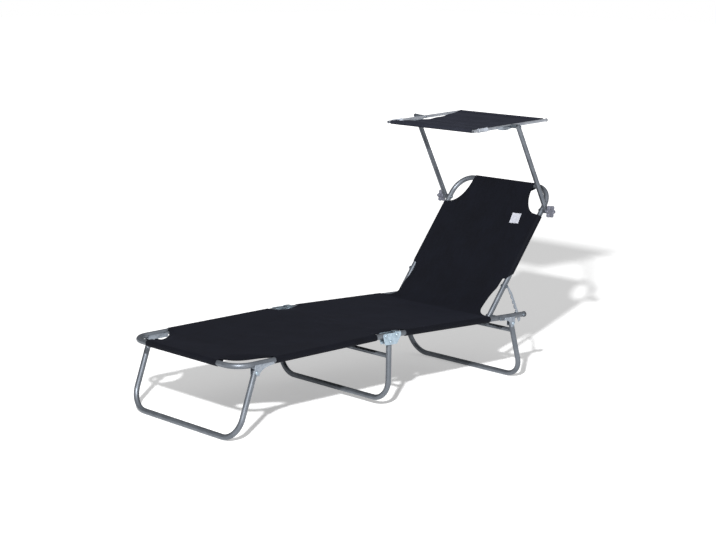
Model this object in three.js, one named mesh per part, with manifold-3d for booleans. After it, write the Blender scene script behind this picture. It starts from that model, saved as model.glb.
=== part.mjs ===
// Folding sun lounger with a clamp-on canopy: three hinged frame sections on three folding
// leg frames, a fabric sling over each section, notched bars that set the backrest, and a
// small sun canopy on two swinging arms. Millimetres, +Z up, the head end towards +Y.

import * as THREE from 'three';
import { mergeVertices } from 'three/addons/utils/BufferGeometryUtils.js';
import Module from 'manifold-3d';

const wasm = await Module();
wasm.setup();

// Fits shared by every piece
const FIT_GAP = 0.3;             // standing gap between two pieces that touch
const RUN_GAP = 0.5;             // gap on each side of a tube that turns in a bracket
const OVERRUN = 40;              // how far a cutting tool runs past what it cuts

// Frame tube
const TUBE_RADIUS = 9.5;
const TUBE_WALL = 1;
const RAIL_SPACING = 560;        // between the centre lines of the side rails
const HINGE_OFFSET = 45;         // from a rail's centre line in to the backrest tube's

// Seat section, measured along its rails from the middle of the lounger
const MIDDLE_HEIGHT = 258.5;     // rail centre line over the floor at the middle
const SEAT_SLOPE = 1.5;          // degrees that the seat drops towards the head
const RAIL_START = 10;
const SEAT_RIVET = 24;           // the rivet that holds the rail in its middle bracket
const HINGE_REACH = 540;         // to the backrest hinge

// Foot section, measured along its rails from the rivets that it folds on
const FOOT_PIVOT = 27;           // those rivets sit this far to the foot side of the middle
const FOOT_SLOPE = 1.2;          // degrees that the section drops towards the foot
const FOOT_REACH = 637;          // to the centre line of the foot bar
const FOOT_BEND = 64;

// Backrest, measured from its hinge
const BACK_ANGLE = 54.6;         // degrees between seat rail and backrest
const BACK_REACH = 545;          // to the centre line of the top bar
const BACK_BEND = 74;

// Middle brackets: pressed channels round both rail ends
const BRACKET_SHEET = 1.6;
const BRACKET_TOP_HALF = 41;
const BRACKET_FOOT_HALF = 27;
const BRACKET_DEPTH = 31;        // from the rail's centre line to the lower edge
const BRACKET_WEB_START = 14;    // the top web leaves room for the foot rail to fold up
const BRACKET_CHEEK_TOP = 9;
const BRACKET_CORNER = 4;

// Leg frames
const LEG_BEND = 74;
const LEG_CLEARANCE = 7;         // between a rail and the end of an end leg
const FOOT_LEG_SPLAY = 19;       // degrees off the vertical, towards the foot
const REAR_LEG_SPLAY = 16.7;     // degrees off the vertical, towards the head
const MIDDLE_LEG_CLEARANCE = 3;
const MIDDLE_LEG_SHIFT = 4;      // the middle leg stands this far to the foot side
const MIDDLE_LEG_LIFT = 20;      // an empty lounger holds its middle leg off the floor
const CROSSBAR_RADIUS = 8;
const MIDDLE_CROSSBAR_REACH = 50.6;  // along the leg, from its rivets to its crossbar
const REAR_CROSSBAR_REACH = 28.75;

// Brackets of the end legs
const GUSSET_TOE = 8;            // from the leg's rivet to the outer end
const GUSSET_HEEL = 11;          // from the leg's rivet to the lower inner corner
const GUSSET_TAB = 10;           // sheet below the rivet
const FOOT_GUSSET_REACH = 80;    // length along the rail
const FOOT_GUSSET_DEPTH = 37;
const REAR_GUSSET_REACH = 56;
const REAR_GUSSET_DEPTH = 39;
const REAR_GUSSET_SETBACK = 15.5;  // from the hinge bolt's nut to the bracket
const GUSSET_STRIP = 16;         // depth of the inner cheek beside the leg

// Rivets and bolts
const RIVET_RADIUS = 3;
const RIVET_HEAD_RADIUS = 6;
const RIVET_HEAD_HEIGHT = 2.2;
const BOLT_RADIUS = 3.5;
const BOLT_HEAD_RADIUS = 6.5;
const BOLT_HEAD_HEIGHT = 4;
const SHOULDER_RADIUS = 7;

// Backrest adjuster: a notched bar on each side that hooks behind a pin in the rail
const RATCHET_ARM = 126;         // from the hinge to the bar's bolt, and to the catch pin
const RATCHET_THICK = 2.5;
const RATCHET_WIDTH = 13;
const RATCHET_EYE = 7.5;
const RATCHET_EYE_TURN = 40;     // degrees up the eye to where the notched edge starts
const NOTCH_FIRST = 38;
const NOTCH_PITCH = 21;
const NOTCH_DEPTH = 5;
const NOTCH_COUNT = 5;
const RATCHET_TIP = 14;          // bar beyond the last notch's pitch
const CATCH_PIN_RADIUS = 3;
const PIN_CLEARANCE = 0.4;
const RAIL_TAIL = 1;             // rail between the catch pin and the end cap's plug
const CAP_LENGTH = 7;
const CAP_PLUG = 5;
const CAP_LIP = 1;

// Canopy arms
const CLAMP_SETBACK = 21;        // from the backrest's bend down to the clamp
const CLAMP_WASHER = 2.5;
const ARM_RADIUS = 9;
const ARM_REACH = 359.9;         // from clamp bolt to tilt bolt
const ARM_ANGLE = 64.5;          // degrees between backrest and arm

// Star knobs
const KNOB_RADIUS = 24;
const KNOB_LOBE = 3.4;
const KNOB_LOBES = 6;
const KNOB_LOBE_STEPS = 6;
const KNOB_THICK = 13;
const KNOB_BEVEL = 1.8;
const KNOB_HUB_RADIUS = 9;
const KNOB_HUB = 4;
const KNOB_GRIP = 11;            // how deep the bolt goes into the knob

// Canopy, measured from the tilt bolts, which go through its side bars
const CANOPY_ANGLE = 114.7;      // degrees between the arm and the side bars
const TILT_SHOULDER = 23.7;      // spacer on the tilt bolt, from tilt plate to arm
const CANOPY_FRONT = 181.2;      // to the front tube
const CANOPY_BACK = 188.8;       // to the back tube
const CANOPY_TUBE_WALL = 1;
const SIDE_BAR_RADIUS = 5.5;
const SIDE_BAR_OVERHANG = 9;     // side bar past the cross tubes
const CROSS_TUBE_RADIUS = 5;
const TILT_BOLT_RADIUS = 2.5;
const TILT_HEAD_RADIUS = 5;
const TILT_PLATE_THICK = 2.5;
const TILT_PLATE_FRONT = 76;     // from the tilt bolt
const TILT_PLATE_BACK = 16;
const TILT_PLATE_TOP = 3;        // over the side bar's centre line
const TILT_PLATE_FOOT = 12;      // below it
const CONNECTOR_LENGTH = 46;
const CONNECTOR_WALL = 1.8;
const CONNECTOR_SETBACK = 16;    // from the front tube to the connector
const CANOPY_CAP_LENGTH = 4;
const CANOPY_CAP_PLUG = 6;

// Fabric
const SLEEVE_WALL = 1.4;
const SHEET = 2;                 // sling between its sleeves
const SEAT_SAG = 7;
const BACK_SAG = 5;
const FOOT_SLEEVE_SETBACK = 31;  // from the foot bar's bend to the end of its sleeve
const GUSSET_SLEEVE_GAP = 10;    // from the foot leg's bracket to the rail sleeve
const FOOT_HEM_REACH = 10;       // the sling runs on beside the rail, past that sleeve
const FOOT_HEM_FLAT_SHARE = 0.2;
const MIDDLE_BARE_HALF = 68;     // half the bare stretch of rail at a middle bracket
const MIDDLE_WAIST = 6;          // how far the fabric is drawn in there
const MIDDLE_SPLIT = 12;         // from the middle to the edge of each sling
const SEAT_SLEEVE_SETBACK = 51;  // from the hinge to the end of the seat's sleeves
const HINGE_NECK_GAP = 17.5;     // from the hinge bolt's head to the fabric beside it
const HINGE_SPLIT = 30;          // from the hinge to the edge of each sling
const BACK_SLEEVE_START = 165;
const CLAMP_SLEEVE_GAP = 25;     // from the clamp bolt down to the backrest's sleeve
const TOP_SLEEVE_SETBACK = 11;   // from the top bar's bend to the end of its sleeve
const CANOPY_CLOTH_GAP = 1.7;    // between the cloth's edge and a connector
const CANOPY_WAIST = 14;
const CANOPY_WAVES = 5;
const CANOPY_WAVE_STEPS = 6;
const CANOPY_WAVE_HEIGHT = 2;
const CANOPY_SAG = 12;

// Facets
const TUBE_SIDES = 16;
const BORE_SIDES = 8;
const SMALL_SIDES = 10;
const BEND_STEPS = 6;
const CURVE_STEPS = 8;
const BEVEL_STEPS = 1;

const FULL_TURN = Math.PI + Math.PI;
const degrees = THREE.MathUtils.degToRad;
const half = (value) => value / 2;
const QUARTER_TURN = half(Math.PI);
const point = (x, y, z = 0) => new THREE.Vector3(x, y, z);

const FINISHES = {
  tube: { color: 0x858a94, roughness: 0.42, metalness: 0.75 },
  sheet: { color: 0xa9b6bf, roughness: 0.38, metalness: 0.8 },
  fastener: { color: 0x8f949b, roughness: 0.35, metalness: 0.9 },
  plastic: { color: 0x5a5d66, roughness: 0.55, metalness: 0 },
  knob: { color: 0x777a87, roughness: 0.5, metalness: 0 },
  fabric: { color: 0x23252d, roughness: 0.92, metalness: 0 },
  canopy: { color: 0x2f323b, roughness: 0.9, metalness: 0 },
};

// Solids and cuts

function solidOf(geometry) {
  const bare = geometry.clone();
  bare.deleteAttribute('normal');
  bare.deleteAttribute('uv');
  const merged = mergeVertices(bare);
  return new wasm.Manifold(new wasm.Mesh({
    numProp: 3,
    vertProperties: new Float32Array(merged.attributes.position.array),
    triVerts: new Uint32Array(merged.index.array),
  }));
}

function geometryOf(solid) {
  const mesh = solid.getMesh();
  const geometry = new THREE.BufferGeometry();
  geometry.setAttribute('position', new THREE.BufferAttribute(mesh.vertProperties, 3));
  geometry.setIndex(new THREE.BufferAttribute(mesh.triVerts, 1));
  geometry.computeVertexNormals();
  return geometry;
}

function joined(...geometries) {
  return geometryOf(geometries.map(solidOf).reduce((whole, next) => whole.add(next)));
}

function cutBy(geometry, ...tools) {
  const rest = tools.map(solidOf).reduce((left, tool) => left.subtract(tool), solidOf(geometry));
  return geometryOf(rest);
}

function common(geometry, other) {
  return geometryOf(solidOf(geometry).intersect(solidOf(other)));
}

// Outlines and the solids pushed out of them

function polygon(points) {
  return new THREE.Shape(points.map(([x, y]) => new THREE.Vector2(x, y)));
}

function roundShape(radius, sides, turn = 0) {
  const points = [];
  for (let i = 0; i < sides; i += 1) {
    const angle = turn + (i * FULL_TURN) / sides;
    points.push([radius * Math.cos(angle), radius * Math.sin(angle)]);
  }
  return polygon(points);
}

function ringShape(outer, inner, turn = 0) {
  const shape = roundShape(outer, TUBE_SIDES, turn);
  shape.holes.push(roundShape(inner, BORE_SIDES, turn));
  return shape;
}

// Points of a quarter of an ellipse, from one end of its axes to the other.
function quarterCurve([fromX, fromY], [toX, toY], [centreX, centreY]) {
  const points = [];
  for (let i = 0; i <= CURVE_STEPS; i += 1) {
    const turn = (QUARTER_TURN * i) / CURVE_STEPS;
    const [near, far] = [Math.cos(turn), Math.sin(turn)];
    points.push([
      centreX + (fromX - centreX) * near + (toX - centreX) * far,
      centreY + (fromY - centreY) * near + (toY - centreY) * far,
    ]);
  }
  return points;
}

// The same curve, drawn in towards its chord by a share of the way.
function flattened(curve, [centreX, centreY], share) {
  return curve.map(([x, y], i) => {
    const turn = (QUARTER_TURN * i) / CURVE_STEPS;
    const bulge = Math.cos(turn) + Math.sin(turn);
    const [chordX, chordY] = [centreX + (x - centreX) / bulge, centreY + (y - centreY) / bulge];
    return [x + (chordX - x) * share, y + (chordY - y) * share];
  });
}

// Along x an outline is drawn in (y, z), along y in (z, x) and along z in (x, y).
function pushed(shape, axis, from, to, bevel = 0) {
  const geometry = new THREE.ExtrudeGeometry(shape, {
    depth: to - from - bevel - bevel,
    bevelEnabled: bevel > 0,
    bevelThickness: bevel,
    bevelSize: bevel,
    bevelOffset: -bevel,
    bevelSegments: BEVEL_STEPS,
    curveSegments: CURVE_STEPS,
  });
  const [x, y, z] = [point(1, 0, 0), point(0, 1, 0), point(0, 0, 1)];
  const bases = { x: [y, z, x], y: [z, x, y], z: [x, y, z] };
  geometry.translate(0, 0, from + bevel);
  return geometry.applyMatrix4(new THREE.Matrix4().makeBasis(...bases[axis]));
}

// A span along x that is given for the right side.
const spanOn = (sign, from, to) => (sign > 0 ? [from, to] : [-to, -from]);

// A hole with flat sides that a round piece of this radius still clears all round.
const boreFor = (radius, sides) => (radius + FIT_GAP) / Math.cos(Math.PI / sides);

function rodAcross(radius, from, to, y, z, sides = SMALL_SIDES) {
  return pushed(roundShape(radius, sides), 'x', from, to).translate(0, y, z);
}

function drillAcross(radius, y, z = 0) {
  const reach = RAIL_SPACING;
  return rodAcross(boreFor(radius, SMALL_SIDES), -reach, reach, y, z);
}

function block(from, to) {
  const box = new THREE.Box3(from, to);
  const [size, centre] = [box.getSize(point(0, 0)), box.getCenter(point(0, 0))];
  return new THREE.BoxGeometry(...size).translate(...centre);
}

// Tubes

// A path of straight runs joined by round bends, with a station at each end of a run and
// at each step of a bend.
class BentPath extends THREE.Curve {
  constructor(corners, bend) {
    super();
    this.stations = [];
    const along = (i) => corners[i + 1].clone().sub(corners[i]).normalize();
    this.add(corners[0], along(0));
    for (let i = 1; i < corners.length - 1; i += 1) {
      this.addBend(corners[i], along(i - 1), along(i), bend);
    }
    this.add(corners[corners.length - 1], along(corners.length - 2));
  }

  add(place, tangent) {
    this.stations.push({ place, tangent });
  }

  addBend(corner, inward, outward, bend) {
    const angle = inward.angleTo(outward);
    const setback = bend * Math.tan(half(angle));
    const side = outward.clone().addScaledVector(inward, -Math.cos(angle)).normalize();
    const centre = corner.clone().addScaledVector(inward, -setback).addScaledVector(side, bend);
    for (let step = 0; step <= BEND_STEPS; step += 1) {
      const turned = (angle * step) / BEND_STEPS;
      const [near, far] = [Math.cos(turned), Math.sin(turned)];
      const place = centre.clone().addScaledVector(side, -bend * near);
      const tangent = inward.clone().multiplyScalar(near).addScaledVector(side, far);
      this.add(place.addScaledVector(inward, bend * far), tangent);
    }
  }

  getUtoTmapping(u) {
    return u;
  }

  getPoint(t, target = new THREE.Vector3()) {
    const scaled = t * (this.stations.length - 1);
    const index = Math.min(Math.floor(scaled), this.stations.length - 2);
    const [start, end] = [this.stations[index].place, this.stations[index + 1].place];
    return target.lerpVectors(start, end, scaled - index);
  }

  getTangent(t, target = new THREE.Vector3()) {
    return target.copy(this.stations[Math.round(t * (this.stations.length - 1))].tangent);
  }
}

// A U of frame tube that opens towards -Y, its open ends rounded and drilled on the X axis.
function pivotedU(spacing, reach, bend, turn = 0) {
  const side = half(spacing);
  const path = new BentPath([
    point(-side, -OVERRUN), point(-side, reach), point(side, reach), point(side, -OVERRUN),
  ], bend);
  const ring = ringShape(TUBE_RADIUS, TUBE_RADIUS - TUBE_WALL, turn);
  const tube = new THREE.ExtrudeGeometry(ring, {
    steps: path.stations.length - 1, extrudePath: path,
  });
  const far = side + OVERRUN;
  const body = block(point(-far, 0, -OVERRUN), point(far, reach + OVERRUN, OVERRUN));
  const nose = rodAcross(TUBE_RADIUS, -far, far, 0, 0, TUBE_SIDES);
  return common(tube, joined(body, nose));
}

function straightTube(radius, wall, axis, from, to) {
  return pushed(ringShape(radius, radius - wall), axis, from, to);
}

// A tube between two others that run along Y, its ends shaped to fit round them.
function copedTube(radius, wall, otherRadius, spacing) {
  const side = half(spacing);
  const bar = straightTube(radius, wall, 'x', -side, side);
  const other = pushed(
    roundShape(boreFor(otherRadius, TUBE_SIDES), TUBE_SIDES), 'y', -OVERRUN, OVERRUN,
  );
  const copes = [-side, side].map((x) => other.clone().translate(x, 0, 0));
  return cutBy(bar, ...copes);
}

// Turned pieces. Their profiles are drawn along +Y, then laid along +X for the right side
// and along -X for the left.

function turned(profile, sides = SMALL_SIDES) {
  return new THREE.LatheGeometry(profile.map(([r, y]) => new THREE.Vector2(r, y)), sides);
}

function turnedAcross(profile, sign = 1) {
  return turned(profile).rotateZ(-sign * QUARTER_TURN);
}

function headOut(radius, height, face) {
  return [
    [radius, face], [radius, face + half(height)], [half(radius), face + height],
    [0, face + height],
  ];
}

function headIn(radius, height, face) {
  return headOut(radius, height, -face).map(([r, y]) => [r, -y]).reverse();
}

function rivet() {
  const face = SADDLE_OUTER + FIT_GAP;
  return turnedAcross([
    ...headIn(RIVET_HEAD_RADIUS, RIVET_HEAD_HEIGHT, -face),
    [RIVET_RADIUS, -face], [RIVET_RADIUS, face],
    ...headOut(RIVET_HEAD_RADIUS, RIVET_HEAD_HEIGHT, face),
  ]);
}

// A bolt with a head inboard at one face, a thick shoulder if two faces are named between,
// and a nut outboard.
const FRAME_BOLT = { radius: BOLT_RADIUS, head: BOLT_HEAD_RADIUS };
const TILT_BOLT = { radius: TILT_BOLT_RADIUS, head: TILT_HEAD_RADIUS };

function nuttedBolt(inner, outer, sign, shoulder = [], { radius, head } = FRAME_BOLT) {
  const [from, to] = shoulder;
  const collar = shoulder.length === 0 ? [] : [
    [radius, from], [SHOULDER_RADIUS, from], [SHOULDER_RADIUS, to], [radius, to],
  ];
  return turnedAcross([
    ...headIn(head, BOLT_HEAD_HEIGHT, inner), [radius, inner], ...collar,
    [radius, outer], ...headOut(head, BOLT_HEAD_HEIGHT, outer),
  ], sign);
}

// Leaves of the tree

function leaf(name, geometry, finish, parent, place = point(0, 0)) {
  const piece = new THREE.Mesh(geometry, new THREE.MeshStandardMaterial(FINISHES[finish]));
  piece.name = name;
  piece.position.copy(place);
  parent.add(piece);
}

// The same piece on both sides; the place given is the right-hand one.
function pair(name, build, finish, parent, place) {
  for (const [side, sign] of [['left', -1], ['right', 1]]) {
    const mirrored = point(sign * place.x, place.y, place.z);
    leaf(`${name}_${side}`, build(sign), finish, parent, mirrored);
  }
}

function group(parent, y, z, angle) {
  const child = new THREE.Group();
  child.position.set(0, y, z);
  child.rotation.x = degrees(angle);
  parent.add(child);
  return child;
}

const heightOf = (part) => part.getWorldPosition(point(0, 0)).z;

// Places along X that several pieces share
const RAIL_X = half(RAIL_SPACING);
const RAIL_INNER = RAIL_X - TUBE_RADIUS;
const RAIL_OUTER = RAIL_X + TUBE_RADIUS;
const BACK_X = RAIL_X - HINGE_OFFSET;
const BACK_SPACING = BACK_X + BACK_X;
const BACK_INNER = BACK_X - TUBE_RADIUS;
const BACK_OUTER = BACK_X + TUBE_RADIUS;
const SADDLE_INNER = TUBE_RADIUS + RUN_GAP;
const SADDLE_OUTER = SADDLE_INNER + BRACKET_SHEET;
const RATCHET_OUTER = BACK_OUTER + FIT_GAP + RATCHET_THICK;
const WASHER_OUTER = BACK_OUTER + FIT_GAP + CLAMP_WASHER;
const ARM_INNER = WASHER_OUTER + FIT_GAP;
const ARM_X = ARM_INNER + ARM_RADIUS;
const ARM_OUTER = ARM_X + ARM_RADIUS;
const TILT_PLATE_OUTER = ARM_INNER - FIT_GAP - TILT_SHOULDER - FIT_GAP;
const TILT_PLATE_INNER = TILT_PLATE_OUTER - TILT_PLATE_THICK;
const SIDE_BAR_X = TILT_PLATE_INNER - FIT_GAP - SIDE_BAR_RADIUS;

// Places along the sections and legs that several pieces share
const RAIL_END = HINGE_REACH + RATCHET_ARM + CATCH_PIN_RADIUS + RAIL_TAIL + CAP_PLUG;
const LEG_DROP = TUBE_RADIUS + LEG_CLEARANCE + TUBE_RADIUS;
const MIDDLE_LEG_DROP = TUBE_RADIUS + MIDDLE_LEG_CLEARANCE + TUBE_RADIUS;
const FOOT_LEG_REACH = FOOT_REACH - FOOT_BEND - GUSSET_TOE;
const REAR_GUSSET_START = HINGE_REACH + BOLT_HEAD_RADIUS + REAR_GUSSET_SETBACK;
const REAR_LEG_REACH = REAR_GUSSET_START + REAR_GUSSET_REACH - GUSSET_TOE;
const CLAMP_REACH = BACK_REACH - BACK_BEND - CLAMP_SETBACK;

// Frame sections

function footFrame(foot) {
  const tube = pivotedU(RAIL_SPACING, FOOT_REACH, FOOT_BEND).rotateZ(Math.PI);
  const holes = [drillAcross(RIVET_RADIUS, 0)];
  leaf('foot_frame', cutBy(tube, ...holes), 'tube', foot);
}

function seatRails(seat) {
  const build = () => cutBy(
    straightTube(TUBE_RADIUS, TUBE_WALL, 'y', RAIL_START, RAIL_END),
    drillAcross(RIVET_RADIUS, SEAT_RIVET),
    drillAcross(BOLT_RADIUS, HINGE_REACH),
    drillAcross(CATCH_PIN_RADIUS, HINGE_REACH + RATCHET_ARM),
  );
  pair('seat_rail', build, 'tube', seat, point(RAIL_X, 0));
}

function endCap(radius, wall, length, plugLength, end) {
  const plug = (radius - wall) * Math.cos(Math.PI / BORE_SIDES) - FIT_GAP;
  const face = end + FIT_GAP;
  const rim = radius + CAP_LIP;
  return turned([
    [0, end - plugLength], [plug, end - plugLength], [plug, face],
    ...headOut(rim, length, face),
  ], TUBE_SIDES);
}

function railCaps(seat) {
  const build = () => endCap(TUBE_RADIUS, TUBE_WALL, CAP_LENGTH, CAP_PLUG, RAIL_END);
  pair('rail_cap', build, 'plastic', seat, point(RAIL_X, 0));
}

function backFrame(back) {
  const tube = pivotedU(BACK_SPACING, BACK_REACH, BACK_BEND);
  const holes = [0, RATCHET_ARM, CLAMP_REACH].map((y) => drillAcross(BOLT_RADIUS, y));
  leaf('back_frame', cutBy(tube, ...holes), 'tube', back);
}

// Middle brackets: a channel that holds the seat rail and lets the foot rail fold up

function middleBrackets(seat) {
  const channel = polygon([
    [SADDLE_OUTER, -SADDLE_OUTER], [SADDLE_OUTER, SADDLE_OUTER], [-OVERRUN, SADDLE_OUTER],
    [-OVERRUN, SADDLE_INNER], [SADDLE_INNER, SADDLE_INNER], [SADDLE_INNER, -SADDLE_INNER],
    [-OVERRUN, -SADDLE_INNER], [-OVERRUN, -SADDLE_OUTER],
  ]);
  const top = SADDLE_OUTER + BRACKET_SHEET;
  const outline = polygon([
    [-BRACKET_TOP_HALF, BRACKET_CHEEK_TOP - BRACKET_CORNER],
    [BRACKET_CORNER - BRACKET_TOP_HALF, BRACKET_CHEEK_TOP],
    [BRACKET_WEB_START, BRACKET_CHEEK_TOP], [BRACKET_WEB_START, top],
    [BRACKET_TOP_HALF - BRACKET_CORNER, top],
    [BRACKET_TOP_HALF, top - BRACKET_CORNER], [BRACKET_TOP_HALF, -BRACKET_CORNER],
    [BRACKET_FOOT_HALF - MIDDLE_LEG_SHIFT, -BRACKET_DEPTH],
    [-BRACKET_FOOT_HALF - MIDDLE_LEG_SHIFT, -BRACKET_DEPTH],
    [-BRACKET_TOP_HALF, -BRACKET_CORNER],
  ].reverse());
  const build = () => cutBy(
    common(
      pushed(channel, 'y', -BRACKET_TOP_HALF, BRACKET_TOP_HALF),
      pushed(outline, 'x', -OVERRUN, OVERRUN),
    ),
    drillAcross(RIVET_RADIUS, -FOOT_PIVOT),
    drillAcross(RIVET_RADIUS, SEAT_RIVET),
    drillAcross(RIVET_RADIUS, -MIDDLE_LEG_SHIFT, -MIDDLE_LEG_DROP),
  );
  pair('middle_bracket', build, 'sheet', seat, point(RAIL_X, 0));
}

// Brackets of the end legs: a cradle round the underside of the rail with a deep curved
// outer cheek, and an inner cheek that lets the leg's crossbar past

function cradleShape() {
  const arc = (radius, reach) => {
    const points = [];
    for (let i = 0; i <= CURVE_STEPS; i += 1) {
      const angle = (reach * (i + i - CURVE_STEPS)) / CURVE_STEPS;
      points.push([-radius * Math.cos(angle), radius * Math.sin(angle)]);
    }
    return points;
  };
  const [far, meet] = [-OVERRUN - OVERRUN, Math.asin(SADDLE_INNER / SADDLE_OUTER)];
  return polygon([
    [0, SADDLE_OUTER], [far, SADDLE_OUTER], [far, SADDLE_INNER],
    ...arc(SADDLE_OUTER, meet).reverse(), [far, -SADDLE_INNER], [far, -SADDLE_OUTER],
    [0, -SADDLE_OUTER], ...arc(SADDLE_INNER, QUARTER_TURN),
  ]);
}

function gussets(name, parent, pivotY, inward, reach, depth) {
  const top = SADDLE_OUTER;
  const toe = pivotY - inward * GUSSET_TOE;
  const heel = pivotY + inward * GUSSET_HEEL;
  const tail = toe + inward * reach;
  const tab = -LEG_DROP - GUSSET_TAB;
  const inner = [
    [toe, top], [toe, tab], [pivotY + inward * GUSSET_TAB, tab],
    [pivotY + inward * GUSSET_TAB, -GUSSET_STRIP], [tail, -GUSSET_STRIP], [tail, top],
  ];
  const outer = [
    [toe, top], [toe, -LEG_DROP], [pivotY, -depth], [heel, -depth],
    ...quarterCurve([heel, -depth], [tail, -TUBE_RADIUS], [tail, -depth]).slice(1),
    [tail, top],
  ];
  const wound = (points) => polygon(inward > 0 ? points : points.reverse());
  const build = (sign) => {
    const wrap = pushed(cradleShape(), 'y', Math.min(toe, tail), Math.max(toe, tail));
    const cheeks = joined(
      pushed(wound([...outer]), 'x', ...spanOn(sign, 0, OVERRUN)),
      pushed(wound([...inner]), 'x', ...spanOn(sign, -OVERRUN, BRACKET_SHEET)),
    );
    return cutBy(common(wrap, cheeks), drillAcross(RIVET_RADIUS, pivotY, -LEG_DROP));
  };
  pair(name, build, 'sheet', parent, point(RAIL_X, 0));
}

function rivets(name, parent, y, z) {
  pair(name, rivet, 'fastener', parent, point(RAIL_X, y, z));
}

// Leg frames

const FLOOR_LINE = TUBE_RADIUS * Math.cos(Math.PI / TUBE_SIDES);

// The foot bar is turned so that it stands on a flat of the tube's outline.
function legFrame(name, leg, splay, lift) {
  const length = (heightOf(leg) - FLOOR_LINE - lift) / Math.cos(degrees(splay));
  const flatDown = QUARTER_TURN + degrees(splay) - Math.PI / TUBE_SIDES;
  const tube = pivotedU(RAIL_SPACING, length, LEG_BEND, flatDown);
  leaf(name, cutBy(tube, drillAcross(RIVET_RADIUS, 0)), 'tube', leg);
}

function crossbar(name, leg, reach) {
  const bar = copedTube(CROSSBAR_RADIUS, TUBE_WALL, TUBE_RADIUS, RAIL_SPACING);
  leaf(name, bar, 'tube', leg, point(0, reach));
}

// Backrest adjuster

function hingeBolts(seat) {
  const shoulder = [BACK_OUTER + FIT_GAP, RAIL_INNER - FIT_GAP];
  const build = (sign) => nuttedBolt(
    BACK_INNER - FIT_GAP, RAIL_OUTER + FIT_GAP, sign, shoulder,
  );
  pair('hinge_bolt', build, 'fastener', seat, point(0, HINGE_REACH));
}

function catchPins(seat) {
  const tip = BACK_OUTER + RUN_GAP;
  const build = (sign) => turnedAcross([
    [0, tip], [CATCH_PIN_RADIUS, tip], [CATCH_PIN_RADIUS, RAIL_OUTER + FIT_GAP],
    ...headOut(BOLT_HEAD_RADIUS, BOLT_HEAD_HEIGHT, RAIL_OUTER + FIT_GAP),
  ], sign);
  pair('catch_pin', build, 'fastener', seat, point(0, HINGE_REACH + RATCHET_ARM));
}

// The catch pin stays on the bar's own Y axis however the backrest stands, so the notched
// edge keeps a clearance from that axis.
function ratchetShape() {
  const near = CATCH_PIN_RADIUS + PIN_CLEARANCE;
  const far = near + RATCHET_WIDTH;
  const start = degrees(RATCHET_EYE_TURN);
  const length = NOTCH_FIRST + NOTCH_COUNT * NOTCH_PITCH + RATCHET_TIP;
  const points = [];
  for (let i = 0; i <= SMALL_SIDES; i += 1) {
    const angle = QUARTER_TURN + ((FULL_TURN - QUARTER_TURN + start) * i) / SMALL_SIDES;
    points.push([RATCHET_EYE * Math.cos(angle), RATCHET_EYE * Math.sin(angle)]);
  }
  points.push([NOTCH_FIRST - NOTCH_PITCH, near]);
  for (let i = 0; i < NOTCH_COUNT; i += 1) {
    const mouth = NOTCH_FIRST + i * NOTCH_PITCH;
    points.push(
      [mouth, near], [mouth, near + NOTCH_DEPTH],
      [mouth + NOTCH_DEPTH, near + NOTCH_DEPTH], [mouth + NOTCH_DEPTH + NOTCH_DEPTH, near],
    );
  }
  points.push(
    [length, near], [length, far - NOTCH_DEPTH], [length - NOTCH_DEPTH, far],
    [NOTCH_FIRST, far],
  );
  return polygon(points);
}

function ratchetBars(ratchet, sign, side) {
  const faces = spanOn(sign, BACK_OUTER + FIT_GAP, RATCHET_OUTER);
  const bar = cutBy(pushed(ratchetShape(), 'x', ...faces), drillAcross(BOLT_RADIUS, 0));
  leaf(`ratchet_bar_${side}`, bar, 'sheet', ratchet);
}

function ratchetBolts(back) {
  const build = (sign) => nuttedBolt(BACK_INNER - FIT_GAP, RATCHET_OUTER + FIT_GAP, sign);
  pair('ratchet_bolt', build, 'fastener', back, point(0, RATCHET_ARM));
}

// Clamps and canopy arms

function clampWashers(back) {
  const [from, to] = [BACK_OUTER + FIT_GAP, WASHER_OUTER];
  const build = (sign) => cutBy(
    turnedAcross([[0, from], [ARM_RADIUS, from], [ARM_RADIUS, to], [0, to]], sign),
    drillAcross(BOLT_RADIUS, 0),
  );
  pair('clamp_washer', build, 'plastic', back, point(0, CLAMP_REACH));
}

function clampBolts(back) {
  const inner = BACK_INNER - FIT_GAP;
  const tip = ARM_OUTER + FIT_GAP + KNOB_GRIP;
  const build = (sign) => turnedAcross([
    ...headIn(BOLT_HEAD_RADIUS, BOLT_HEAD_HEIGHT, inner), [BOLT_RADIUS, inner],
    ...headOut(BOLT_RADIUS, half(BOLT_RADIUS), tip - half(BOLT_RADIUS)),
  ], sign);
  pair('clamp_bolt', build, 'fastener', back, point(0, CLAMP_REACH));
}

function knob(back, sign, side) {
  const face = ARM_OUTER + FIT_GAP;
  const points = [];
  const count = KNOB_LOBES * KNOB_LOBE_STEPS;
  for (let i = 0; i < count; i += 1) {
    const angle = (FULL_TURN * i) / count;
    const radius = KNOB_RADIUS - KNOB_LOBE + KNOB_LOBE * Math.cos(KNOB_LOBES * angle);
    points.push([radius * Math.cos(angle), radius * Math.sin(angle)]);
  }
  const star = spanOn(sign, face + KNOB_HUB, face + KNOB_HUB + KNOB_THICK);
  const hub = spanOn(sign, face, face + KNOB_HUB + KNOB_BEVEL);
  const hole = spanOn(sign, face - OVERRUN, face + KNOB_GRIP + FIT_GAP);
  const body = joined(
    pushed(polygon(points), 'x', ...star, KNOB_BEVEL),
    rodAcross(KNOB_HUB_RADIUS, ...hub, 0, 0, TUBE_SIDES),
  );
  const bore = rodAcross(boreFor(BOLT_RADIUS, SMALL_SIDES), ...hole, 0, 0);
  leaf(`clamp_knob_${side}`, cutBy(body, bore), 'knob', back, point(0, CLAMP_REACH));
}

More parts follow.
